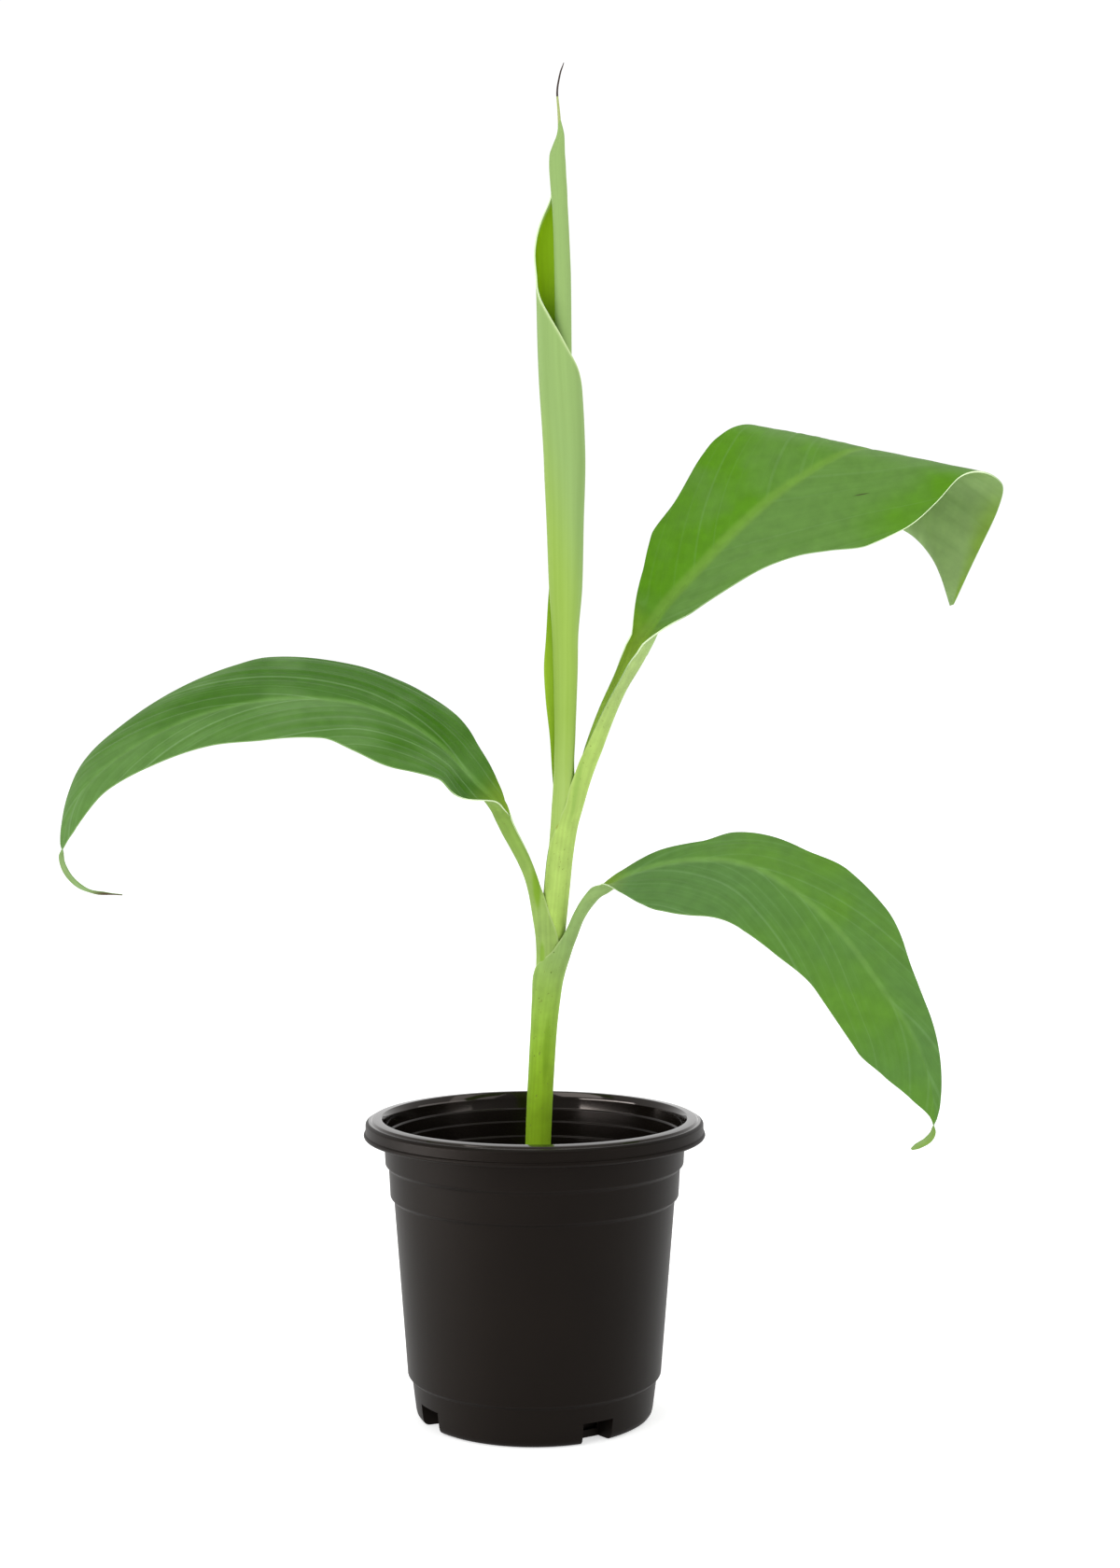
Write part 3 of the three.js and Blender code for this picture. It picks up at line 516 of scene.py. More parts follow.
# the stalk's middle line at shares of it, the way ahead, the way the channel opens (passing to the
# blade's own at the top), and the six numbers of its section
def stalkFrame(leaf, share):
    start = bladePoints(leaf, np.arange(3) * leafGrid["lead"], np.zeros(3), np.zeros(3))
    roll = math.radians(leaf["roll"][0][1])
    opening = turnLeaf(leaf, 0.0, -math.sin(roll), math.cos(roll))
    path = np.array([*leaf["ribPath"], *start])
    reach = np.cumsum(np.linalg.norm(np.diff(path, axis=0), axis=1))
    middle = throughPoints(path, share[:, 0] * reach[-3] / reach[-1])
    ahead = unit(np.gradient(middle, axis=0))
    ahead[-1] = unit(start[1] - start[0])
    inward = np.array([*leaf["inward"], (leaf["base"][2], *opening)])
    towards = np.stack([keyed(inward[:, [0, k]], middle[:, 2]) for k in (1, 2, 3)], -1)
    up = unit(towards - ahead * np.sum(towards * ahead, -1, keepdims=True))
    z = middle[:, 2:3]
    wide, lift, curl = (keyed(leaf[key], z) for key in ("wide", "liftUp", "curlUp"))
    joined = 1 - easeBetween(0, leaf["join"], (1 - share) * reach[-3])
    first = bladeSection(leaf, np.zeros((1, 1)))
    own = (wide, wide, lift, lift, curl, curl)
    section = [here * (1 - joined) + end * joined for here, end in zip(own, first)]
    return middle, ahead, up, section


# sheath and stalk points: the section carried up the middle line
def stalkPoints(leaf, share, across, height):
    middle, ahead, up, section = stalkFrame(leaf, share)
    out, rise = leafSection(across, *section, height)
    left = np.cross(up, ahead)
    return middle[:, None] + out[..., None] * left[:, None] + rise[..., None] * up[:, None]


# where a point of a leaf lies across and along its fibres: on the blade, how far along its side vein
# left the rib and how far out it is; on the stalk, whose fibres run up it, a stretched distance out and
# how far along it is
def fibrePlace(leaf, along, out):
    lean = np.where(out < 0, leaf["lean"][1], leaf["lean"][0])
    unfolded = easeBetween(*leafGrid["unfold"], along)
    vein = along - lean * np.abs(out) - leafGrid["veinSweep"] * out ** 2
    across = unfolded * vein + (1 - unfolded) * out * leafGrid["stalkFibre"]
    return np.stack([across, unfolded * out + (1 - unfolded) * along], -1)


# the leaf: rows up its stalk and out along its blade, columns from its right margin to its left; its
# face and its back are the same sheet at two heights, and the values kept on it say where each colour is
def makeLeaf(name, leaf):
    grid = leafGrid
    across = np.linspace(-1, 1, 2 * grid["halfColumns"] + 1)[None, :]
    right = across < 0
    stalkShare = np.linspace(0, 1, grid["stalkRows"])[:, None]
    bladeShare = np.linspace(0, 1, grid["bladeRows"])[1:, None]
    rows = len(stalkShare)
    middle, _, _, section = stalkFrame(leaf, stalkShare)
    height = middle[:, 2:3]
    step = np.linalg.norm(np.diff(middle, axis=0, append=middle[-1:]), axis=1)
    onStalk = -step[::-1].cumsum()[::-1, None]
    # distance out from the rib, in from the margin, and along from the blade's base
    wideLeft, wideRight = (np.concatenate([stalk, blade]) for stalk, blade in
                           zip(section[:2], bladeSection(leaf, bladeShare)[:2]))
    out = np.where(right, wideRight, wideLeft) * across
    fromEdge = np.where(right, wideRight, wideLeft) - np.abs(out)
    along = np.concatenate([onStalk, bladeShare * leaf["length"]]) + 0 * out
    unfolded = easeBetween(*grid["unfold"], along)
    fibres = fibrePlace(leaf, along, out)
    # thickness: a thin edge, a thick rib under, a shallow groove over it, and pleats along the veins: a
    # sine whose turn wanders, and a share of a quicker one
    under = np.concatenate([keyed(leaf["under"], height), keyed(leaf["ribUnder"], bladeShare)])
    pleatHigh, pleatPitch = leaf["pleat"]
    turn = 2 * np.pi * fibres[..., 0] / pleatPitch
    (wander, wanderRate), (quick, quickRate, shift) = grid["wander"], grid["quicker"]
    pleat = np.sin(turn + wander * np.sin(wanderRate * turn)) + quick * np.sin(quickRate * turn + shift)
    pleat = pleat * easeBetween(*grid["pleatFromRib"], np.abs(out))
    pleat = pleat * easeBetween(*grid["pleatFromEdge"], fromEdge) * unfolded * pleatHigh
    half = grid["edge"] / 2 * np.minimum(1, grid["tipThin"] + (wideLeft + wideRight) / grid["fullWide"])
    over = half - unfolded * grid["groove"] * np.exp(-(out / grid["grooveWide"]) ** 2) + pleat
    below = -half - np.maximum(under - half, 0) * np.exp(-(out / grid["ribWide"]) ** 2) + pleat
    face, back = (np.concatenate([stalkPoints(leaf, stalkShare, across, h[:rows]),
                                  bladePoints(leaf, bladeShare, across, h[rows:])])
                  for h in (over, below))
    # where the colours lie: along each half, by height on the stalk, round the rib and at the margins
    share = along / leaf["length"]
    fresh, bareEdge = (np.where(right, keyed(leaf[key][1], share), keyed(leaf[key][0], share))
                       for key in ("fresh", "bareEdge"))
    keeps = np.where(right, leaf["freshEdge"][1], leaf["freshEdge"][0])
    pale = np.concatenate([keyed(leaf["pale"], height), 0 * bladeShare + leaf["pale"][-1][1]])
    seam = np.concatenate([keyed(leaf["seam"], height), 0 * bladeShare])
    ribBand = np.exp(-(out / keyed(leaf["ribWide"], share)) ** 4)
    values = {"rib": ribBand * leaf["ribShow"] * keyed(grid["ribFade"], share),
              "fresh": fresh * (1 - keeps + keeps * easeBetween(*grid["freshOuter"], np.abs(across))),
              "stalk": 1 - easeBetween(*grid["stalkSkin"], along),
              "near": easeBetween(*grid["nearBlade"], along),
              "pale": pale + 0 * out,
              "dried": easeBetween(leaf["driedFrom"], leaf["driedFrom"] + grid["driedOver"], share),
              "bareEdge": bareEdge,
              "seam": seam * np.exp(-(fromEdge / grid["seamWide"]) ** 2)}
    flecksAndShade = [[(fibrePlace(leaf, *np.array(fleck[:2])).tolist(), fleck[2:4], *fleck[4:])
               for fleck in side] for side in leaf["flecksAndShade"]]
    sheath = leafSkin["sheathInside"]
    upper = {"greens": leaf["greens"], "fresh": leaf["freshGreen"], "rib": leaf["midrib"],
             "stalk": (sheath, sheath, leafSkin["channel"])}
    # the underside's fresh green is partly painted shade
    lower = {"greens": leafSkin["under"], "fresh": leafSkin["underFreshWithShade"], "rib": leafSkin["underRib"],
             # the stalk's green low down is partly painted light, against the shade inside the pot
             "stalk": (leafSkin["sheathLowWithPaintedLight"], *leaf["stalkGreens"])}
    skins = [leafMaterial("upperSkin_" + name, upper, leafSkin["roughUpper"], *leaf["lines"], flecksAndShade[0]),
             leafMaterial("underSkin_" + name, lower, leafSkin["roughUnder"], *leaf["lines"], flecksAndShade[1])]
    piece = addSheet(name, face, back, [*skins, leafEdge], fibres, values)
    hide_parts(*leaf["nodes"])
    return piece


for name, leaf in leaves.items():
    makeLeaf(name, leaf)
print("open leaves made")

# The middle of the stem, inside the leaves' sheaths: centre and radius by height
stemCore = {"centreX": [(70, 0.5), (105, 2), (130, 3.8), (148, 5.8), (166, 7.2)],
            "centreY": [(70, 0), (148, 0), (166, 0.4)],
            "radius": [(70, 2.6), (130, 2.8), (148, 3), (166, 2.6)],
            "low": 70, "high": 166, "rings": 60, "around": 48}

# Bare plant fibre, juicy in the stem and dried at a tip: the eye gets fine upright streaks. Real fibres
# are thinner than the streaks drawn here.
fibreSkin = {"wide": 0.4, "long": 6, "bump": 0.00003}


# noise stretched upwards mixes two tones and raises the streaks a little
def fibreMaterial(name, tones, rough):
    material, tree, shader = newMaterial(name, Roughness=rough)
    wide, tall = 1 / (fibreSkin["wide"] * mm), 1 / (fibreSkin["long"] * mm)
    along = addNode(tree, "Mapping", {"Vector": addNode(tree, "TexCoord").outputs["Object"],
                                      "Scale": (wide, wide, tall)})
    streaks = addNode(tree, "TexNoise", {"Vector": along.outputs["Vector"], "Scale": 1, "Detail": 2})
    tint = addNode(tree, "Mix", {0: streaks.outputs["Fac"], 6: hexColour(tones[0]),
                                 7: hexColour(tones[1])}, data_type="RGBA")
    tree.links.new(tint.outputs[2], shader.inputs["Base Color"])
    bump = addNode(tree, "Bump", {"Height": streaks.outputs["Fac"], "Strength": 0.4,
                                  "Distance": fibreSkin["bump"]})
    tree.links.new(bump.outputs["Normal"], shader.inputs["Normal"])
    return material


stemSkin = fibreMaterial("stemHeartFibre", ("#81a040", "#9cbb58"), 0.5)


# an upright tube: each ring is a level circle about the centre at its height; above a change of height
# its second material is used
def uprightTube(name, spec, materials, change=math.inf):
    z = np.linspace(spec["low"], spec["high"], spec["rings"])[:, None]
    angle = np.linspace(0, 2 * np.pi, spec["around"], endpoint=False)[None, :]
    radius = keyed(spec["radius"], z)
    points = np.stack([keyed(spec["centreX"], z) + radius * np.cos(angle),
                       keyed(spec["centreY"], z) + radius * np.sin(angle), z + 0 * angle], -1)
    quads = tubeQuads(spec["rings"], spec["around"])
    above = z.ravel()[quads.max(1) // spec["around"]] > change
    return addPiece(name, points.reshape(-1, 3), quads, materials, above)


stem = uprightTube("stem_core", stemCore, [stemSkin])
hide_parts("stem")
print("stem made")

# The newest leaf, still rolled. A sheet turns outwards from a slim core roll at the right: it leaves the
# core at the back, passes the left side and the front, and ends at a free edge that climbs from the
# right, across the front, to the left. Its foot goes down inside the sheath of the leaf before it.
#   turn values are degrees round from the right, by way of the back, left and front
rolledLeaf = {
    "low": 152, "high": 412.4, "rows": 270, "columns": 170, "thick": 0.5, "middleY": 1.3,
    "coreX": [(152, 6.1), (199, 9.2), (300, 9.3), (337, 9), (361, 8.75), (373, 8.4), (385, 7.85),
              (390.3, 7.5), (397.5, 7.05), (401, 7), (403.8, 7.45), (408.2, 8.2), (412.4, 7.9)],
    "coreR": [(152, 1.6), (250, 1.9), (300, 2.4), (337, 2.6), (361, 2.65), (373, 2.55), (385, 2.5),
              (390.3, 2.65), (397.5, 2.7), (401, 2.5), (403.8, 1.95), (408.2, 0.95), (412.4, 0.35)],
    "wrapX": [(152, 6.1), (163.7, 7), (173, 7.75), (182, 8.5), (191, 9.1), (199, 9.4), (206.5, 9.4),
              (214.6, 9.65), (228, 9.8), (237, 9.85), (247, 9.75), (262.8, 9.9), (284, 9.75),
              (302, 9.6), (313.5, 9.15), (325.5, 8.4), (337, 7.7), (361, 6.6), (370, 5.8), (374.5, 5.8),
              (379, 6.1), (385, 6.8), (390.3, 7.5), (397.5, 7.05), (401, 7), (403.8, 7.45),
              (408.2, 8.2), (412.4, 7.9)],
    "wrapR": [(152, 3.3), (163.7, 3.5), (182, 3.55), (191, 3.55), (199, 3.3), (206.5, 3), (214.6, 3.1),
              (228, 3.45), (237, 3.7), (247, 3.95), (262.8, 5.1), (284, 5.75), (302, 6.4),
              (325.5, 6.65), (337, 6.5), (361, 6.05), (370, 5.85), (374.5, 5.4), (379, 4.7), (385, 3.4),
              (390.3, 2.8), (397.5, 2.75), (401, 2.55), (403.8, 2), (408.2, 1), (412.4, 0.4)],
    "freeEdge": [(152, 500), (280, 480), (300, 430), (313, 395), (325, 360), (331, 337), (337, 303),
                 (345, 266), (350.6, 237), (355.6, 208), (361, 184), (370, 178), (376, 170), (382, 160),
                 (388, 140), (412, 130)],
    "start": -300, "leavesCore": 60, "reachesWrap": 165, "overlap": 0.7,
    "tighten": 0.3, "thickShare": 0.3,
    "yellowLeft": 315, "yellowRight": 245, "yellowFade": 30, "fork": (195, 225), "marginWide": 0.6,
    "marginShow": 0.8, "fibreRadius": 5}

# Rolled leaf skin: the back of a young leaf outside, pale with a bloom of wax, and its yellow-green
# upper face inside. The eye gets faint upright streaks; it is paler at the fork, yellow above it and
# grey-green at the top, and the yellow climbs higher at its left.
# the inside's greens are brighter than its own colour: painted light against the shade within the roll
rolledSkin = {"outside": (("#9ebb5c", "#a6c269"), ("#94b44c", "#9cbb57"), ("#8dab65", "#94b36b")),
              "inside": (("#9cc232", "#a4c83a"), ("#9cc232", "#a4c83a"), ("#86b00e", "#90ba14")),
              "margin": "#d2e5ac", "streakWidth": 1.6, "streakLength": 80, "bump": 0.00003}


# streaks mix each pair of tones; the climb kept on the sheet runs from -1 at the fork by 0 in the yellow
# to 1 at the top, and passes from pair to pair
def rolledMaterial(name, tones, rough):
    material, tree, shader = newMaterial(name, Specular_IOR_Level=0.1, Roughness=rough)
    fibres = addNode(tree, "UVMap", uv_map="fibres")
    along = addNode(tree, "Mapping", {"Vector": fibres.outputs["UV"], "Scale": (
        1 / rolledSkin["streakWidth"], 1 / rolledSkin["streakLength"], 1)})
    streaks = addNode(tree, "TexNoise", {"Vector": along.outputs["Vector"], "Scale": 1, "Detail": 3})
    streak = addNode(tree, "MapRange", {"Value": streaks.outputs["Fac"], "From Min": 0.3,
                                        "From Max": 0.7})
    climb, margin = (addNode(tree, "Attribute", attribute_name=key).outputs["Fac"]
                     for key in ("climb", "margin"))
    skin, middle, top = (
        addNode(tree, "Mix", {0: streak.outputs["Result"], 6: hexColour(pair[0]), 7: hexColour(pair[1])},
                data_type="RGBA").outputs[2] for pair in tones)
    above = addNode(tree, "MapRange", {"Value": climb, "From Min": -1, "From Max": 0}).outputs["Result"]
    for amount, colour in ((above, middle), (climb, top), (margin, hexColour(rolledSkin["margin"]))):
        skin = addNode(tree, "Mix", {0: amount, 6: skin, 7: colour}, data_type="RGBA").outputs[2]
    tree.links.new(skin, shader.inputs["Base Color"])
    bump = addNode(tree, "Bump", {"Height": streaks.outputs["Fac"], "Strength": 0.4,
                                  "Distance": rolledSkin["bump"]})
    tree.links.new(bump.outputs["Normal"], shader.inputs["Normal"])
    return material


rolledOutside = rolledMaterial("rolledLeafOutside", rolledSkin["outside"], 0.5)
rolledInside = rolledMaterial("rolledLeafInside", rolledSkin["inside"], 0.5)


# the rolled sheet: at each height the angle runs from inside the core, whose turns tighten inwards, to
# the free edge, and centre and radius pass from the core's to the wrap's as the sheet leaves the core
def makeRolledLeaf(spec):
    z = np.linspace(spec["low"], spec["high"], spec["rows"])[:, None]
    t = np.linspace(0, 1, spec["columns"])[None, :]
    turn = spec["start"] + t * (keyed(spec["freeEdge"], z) - spec["start"])
    away = easeBetween(spec["leavesCore"], spec["reachesWrap"], turn)
    centreX = keyed(spec["coreX"], z) * (1 - away) + keyed(spec["wrapX"], z) * away
    coreR = keyed(spec["coreR"], z) * (1 - spec["tighten"] * np.clip(turn / spec["start"], 0, 1))
    wrapR = keyed(spec["wrapR"], z) + np.clip(turn / 360 - 1, 0, 1) * spec["overlap"]
    radius = coreR * (1 - away) + wrapR * away
    angle = np.radians(turn)
    half = np.minimum(spec["thick"] / 2, spec["thickShare"] * coreR)
    inside, outside = (np.stack([centreX + r * np.cos(angle), spec["middleY"] + r * np.sin(angle),
                                 z + 0 * angle], -1) for r in (radius - half, radius + half))
    uv = np.stack([angle * spec["fibreRadius"], z + 0 * angle], -1)
    # the yellow ends at a height that falls from the left round to the right; the core has none
    yellowEnd = spec["yellowLeft"] + (spec["yellowRight"] - spec["yellowLeft"]) * (turn / 180 - 1)
    yellow = away * (1 - easeBetween(-spec["yellowFade"], spec["yellowFade"], z - yellowEnd))
    fromEdge = (angle[:, -1:] - angle) * radius
    values = {"bareEdge": 0 * angle + 1, "climb": easeBetween(*spec["fork"], z) - yellow,
              "margin": spec["marginShow"] * np.exp(-(fromEdge / spec["marginWide"]) ** 2)}
    piece = addSheet("rolled_leaf", inside, outside, [rolledInside, rolledOutside, leafEdge], uv, values)
    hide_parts("spear_leaf")
    return piece


makeRolledLeaf(rolledLeaf)

# A lip of the same leaf that stands out at the left of the roll, low down: its edge by height, its root
rolledLip = {"edgeX": [(196, 6.6), (199, 5.95), (214.6, 4.85), (228.2, 3.4), (237, 2.95), (247, 3.6),
                       (263, 4.6), (268, 5.4)],
             "edgeY": 1.9, "rootX": 9.6, "rootY": 3.5, "low": 196, "high": 268, "rows": 110,
             "columns": 14, "thick": 0.4, "bow": 0.5}


# the lip: at each height a bowed strip from its root behind the roll to its edge
def makeLip(spec):
    z = np.linspace(spec["low"], spec["high"], spec["rows"])[:, None]
    t = np.linspace(0, 1, spec["columns"])[None, :]
    edge = keyed(spec["edgeX"], z)
    x = spec["rootX"] + (edge - spec["rootX"]) * t
    y = spec["rootY"] + (spec["edgeY"] - spec["rootY"]) * t + spec["bow"] * np.sin(np.pi * t) + 0 * z
    half = spec["thick"] / 2
    front, behind = (np.stack([x, y + offset, z + 0 * x], -1) for offset in (-half, half))
    piece = addSheet("rolled_leaf_lip", front, behind, [rolledInside, rolledOutside, leafEdge],
                     np.stack([x, z + 0 * x], -1), {"bareEdge": 0 * x + 1})
    return piece


makeLip(rolledLip)

# The thread at its tip: yellow-green at its foot, dried dark above
threadSpec = {"centreX": [(406, 8), (412.4, 7.85), (416, 7.6), (421, 7.2), (427, 8.1), (430.6, 9.3)],
              "centreY": [(406, 1.3), (430.6, 1.3)],
              "radius": [(406, 0.55), (412.4, 0.5), (418, 0.38), (421, 0.33), (428, 0.27),
                         (430.6, 0.15)],
              "low": 406, "high": 430.6, "rings": 60, "around": 16, "driedFrom": 420}
paleTip = fibreMaterial("paleTipFibre", ("#929f5a", "#b2bf79"), 0.6)
driedTip = fibreMaterial("driedTipFibre", ("#271b15", "#3f3129"), 0.7)
thread = uprightTube("rolled_leaf_thread", threadSpec, [paleTip, driedTip],
                     change=threadSpec["driedFrom"])
print("rolled leaf made")

# Pot plastic: moulded black polypropylene, a little brown. Satin outside with the mould's fine grain,
# and glossier on the rim and inside, with a polished mouth. Real grain is finer than the one drawn here.
#   finishes   roughness, shine and height of the grain of each skin, from the outside to the inside
potSkin = {"colours": ("#0d0a08", "#130f0c"), "gleam": "#fff2ea", "grain": 0.5, "cloud": 25,
           "finishes": {"potPlasticOutside": (0.45, 0.08, 0.00003),
                        "potPlasticRim": (0.4, 0.08, 0.00001),
                        "potPlasticMouth": (0.09, 0.45, 0.00001),
                        "potPlasticInside": (0.17, 0.22, 0.00001)}}


# wide clouds of noise mix two near blacks, and fine noise is the grain
def potMaterial(name, rough, shine, bumpHeight):
    material, tree, shader = newMaterial(name, Specular_IOR_Level=shine, Roughness=rough,
                                         Specular_Tint=hexColour(potSkin["gleam"]))
    place = addNode(tree, "TexCoord").outputs["Object"]
    grain, cloud = (addNode(tree, "TexNoise", {"Vector": place, "Scale": 1 / (potSkin[key] * mm),
                                               "Detail": detail}).outputs["Fac"]
                    for key, detail in (("grain", 3), ("cloud", 2)))
    low, high = potSkin["colours"]
    tint = addNode(tree, "Mix", {0: cloud, 6: hexColour(low), 7: hexColour(high)}, data_type="RGBA")
    tree.links.new(tint.outputs[2], shader.inputs["Base Color"])
    bump = addNode(tree, "Bump", {"Height": grain, "Strength": 0.3, "Distance": bumpHeight})
    tree.links.new(bump.outputs["Normal"], shader.inputs["Normal"])
    return material


potSkins = [potMaterial(name, *finish) for name, finish in potSkin["finishes"].items()]

# The pot: corners of its section as (radius, height, rounding), from the underside's middle, up the
# stepped outside, round the rim and down the inside to the floor. The notches' widths are measured at
# notchAt from the middle; the inside stands at insideBack behind them, below insideTop. The gaps are
# half of what parts the close rings and angles at a notch's edges.
potShape = {
    "outside": [(0.5, 0.9, 0.1), (29, 0.9, 0.3), (30, 0, 0.3), (37.4, 0, 2.2), (39, 12.1, 0.3),
                (40.3, 13.2, 0.35), (44.7, 68.4, 0.3), (45.9, 69.5, 0.35), (46.4, 78.6, 0.3),
                (47.5, 79.7, 0.35), (47.9, 87.2, 0.3), (48.6, 87.6, 0.2), (52.8, 87.8, 0.2),
                (54, 88.1, 0.25), (54.4, 88.7, 0.2), (54.2, 89.4, 0.15), (53.8, 89.6, 0.12)],
    "rim": [(53.8, 92.6, 0.5)],
    "mouth": [(52.7, 93.3, 0.2), (52.1, 93.3, 0.1), (51.7, 93.9, 0.25), (48.7, 94.1, 0.3),
              (47.9, 92.5, 0.7), (47.6, 88.6, 0.1)],
    "inside": [(46.9, 88.3, 0.1), (46.7, 84.4, 0.1), (46.1, 84.1, 0.1), (45.9, 79.6, 0.1),
               (45.3, 79.3, 0.1), (44.5, 70, 0.4), (43.4, 68.8, 0.4), (39, 13.6, 0.4),
               (37.7, 12.4, 0.4), (36.2, 1.8, 1), (0.5, 1.8, 0.1)],
    "around": 288, "cornerSteps": 5, "notches": 4, "firstNotch": -148.6, "notchWide": 10,
    "notchTall": 6.8, "notchBack": 31, "notchAt": 36, "slotWide": 9, "slotLow": 2.3, "slotHigh": 5.8,
    "slotBack": 29.6, "insideBack": 24, "insideTop": 3, "insideSpare": 0.045, "ringGap": 0.02,
    "angleGap": 0.0005}


# a section of straight runs with rounded corners: each corner gives way to a quadratic curve that
# starts and ends its rounding away from it
def roundedSection(corners, steps):
    place, rounding = corners[:, :2], corners[:, 2:]
    before = unit(np.roll(place, 1, 0) - place)
    after = unit(np.roll(place, -1, 0) - place)
    t = np.linspace(0, 1, steps)[None, :, None]
    start, end = (place + rounding * before)[:, None], (place + rounding * after)[:, None]
    return (1 - t) ** 2 * start + 2 * t * (1 - t) * place[:, None] + t ** 2 * end


# angles of the notches, evenly spread from the first
def notchAngles(spec):
    return np.radians(spec["firstNotch"] - 90 + np.arange(spec["notches"]) * 360 / spec["notches"])


# how far each angle lies from that of the nearest notch, either way round
def awayFromNotch(spec, angle):
    return np.abs((angle - notchAngles(spec)[:, None] + np.pi) % (2 * np.pi) - np.pi).min(0)


# the pot: its section turned round the middle, with four notches in its foot, where the wall is set back
# to a flat, a drain slot is set back further and the inside slopes in behind them
def makePot(spec):
    corners = np.array(spec["outside"] + spec["rim"] + spec["mouth"] + spec["inside"], float)
    section = roundedSection(corners, spec["cornerSteps"]).reshape(-1, 2)
    # close pairs of rings and of angles where a notch or a slot begins and ends: after the foot's ring
    # come two at the low end of the slot, two at its high end and two at the top of the notch
    bothWays = np.array([-1, 1])
    cuts = np.array([spec["slotLow"], spec["slotHigh"], spec["notchTall"]])
    heights = (cuts[:, None] + spec["ringGap"] * bothWays).ravel()
    foot = np.flatnonzero((section[:-1, 1] < heights[0]) & (section[1:, 1] > heights[-1]))[0]
    ends = section[foot:foot + 2]
    extra = np.stack([np.interp(heights, ends[:, 1], ends[:, 0]), heights], 1)
    section = np.insert(section, foot + 1, extra, 0)
    halfNotch, halfSlot = (spec[key] / 2 / spec["notchAt"] for key in ("notchWide", "slotWide"))
    steps = np.array([halfNotch, halfSlot])[:, None] + spec["angleGap"] * bothWays
    steps = np.r_[steps.ravel(), -steps.ravel()]
    even = np.linspace(0, 2 * np.pi, spec["around"], endpoint=False)
    angle = np.sort(np.r_[even, (notchAngles(spec)[:, None] + steps).ravel() % (2 * np.pi)])
    radius, height = section[:, :1] + 0 * angle, section[:, 1:] + 0 * angle
    away = awayFromNotch(spec, angle)
    row = np.arange(len(section))[:, None]
    flat = np.where((row <= foot + 5) & (away < halfNotch), spec["notchBack"] / np.cos(away), np.inf)
    slot = np.where((row >= foot + 2) & (row <= foot + 3) & (away < halfSlot), spec["slotBack"], np.inf)
    behind = (row > len(section) / 2) & (height < spec["insideTop"])
    behind = behind & (away < halfNotch + spec["insideSpare"])
    inside = np.where(behind, spec["insideBack"], np.inf)
    radius = np.min([radius, flat, slot, inside], axis=0)
    points = np.stack([radius * np.cos(angle), radius * np.sin(angle), height], -1)
    quads = tubeQuads(len(section), len(angle))
    # the rim, the mouth and the inside have skins of their own
    ring = quads.min(1) // len(angle) - len(heights)
    skinFrom = np.cumsum([len(spec[key]) for key in ("outside", "rim", "mouth")]) * spec["cornerSteps"]
    skin = (ring[:, None] >= skinFrom).sum(1)
    piece = addPiece("moulded_pot", points.reshape(-1, 3), quads, potSkins, skin, sharpOver=40)
    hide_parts("pot")
    return piece


makePot(potShape)
print("pot made")

# Potting mix: moist peat with bark crumbs. The eye gets dark brown with paler crumbs, and no gloss.
soilSkin = {"browns": ("#1f140c", "#5a4130"), "crumb": 2.2, "bump": 0.0008}


# crumbs are noise of their size, which mixes two browns and stands up as they do
def soilMaterial():
    material, tree, shader = newMaterial("peatMix", Roughness=0.95)
    place = addNode(tree, "TexCoord").outputs["Object"]
    crumbs = addNode(tree, "TexNoise", {"Vector": place, "Scale": 1 / (soilSkin["crumb"] * mm),
                                        "Detail": 5})
    dark, pale = soilSkin["browns"]
    brown = addNode(tree, "Mix", {0: crumbs.outputs["Fac"], 6: hexColour(dark), 7: hexColour(pale)},
                    data_type="RGBA")
    tree.links.new(brown.outputs[2], shader.inputs["Base Color"])
    bump = addNode(tree, "Bump", {"Height": crumbs.outputs["Fac"], "Strength": 0.8,
                                  "Distance": soilSkin["bump"]})
    tree.links.new(bump.outputs["Normal"], shader.inputs["Normal"])
    return material


# The fill: radius and height up its side, the level and radius of its top, and the waves that make it
# lumpy; near each notch of the pot its foot stands clear of the wall there
soilShape = {"wall": [(35.6, 2.4), (36.5, 12.2), (38.4, 13.8), (42.6, 68.6), (43.6, 70.2)],
             "level": 74.8, "radius": 44.2, "middle": 0.004, "rings": 90, "around": 180,
             "waves": 60, "waveRate": 0.55, "lump": 0.78, "seed": 7, "nearNotch": 0.22, "clear": 1}


# height of the mix at a place: its level and a sum of seeded waves, each with its own way and phase
def soilTop(spec, x, y):
    chance = np.random.default_rng(spec["seed"])
    wave = chance.normal(size=(spec["waves"], 2)) * spec["waveRate"]
    phase = chance.uniform(0, 2 * np.pi, spec["waves"])
    lumps = np.sin(x[..., None] * wave[:, 0] + y[..., None] * wave[:, 1] + phase).sum(-1)
    return spec["level"] + lumps / spec["waves"] ** 0.5 * spec["lump"]


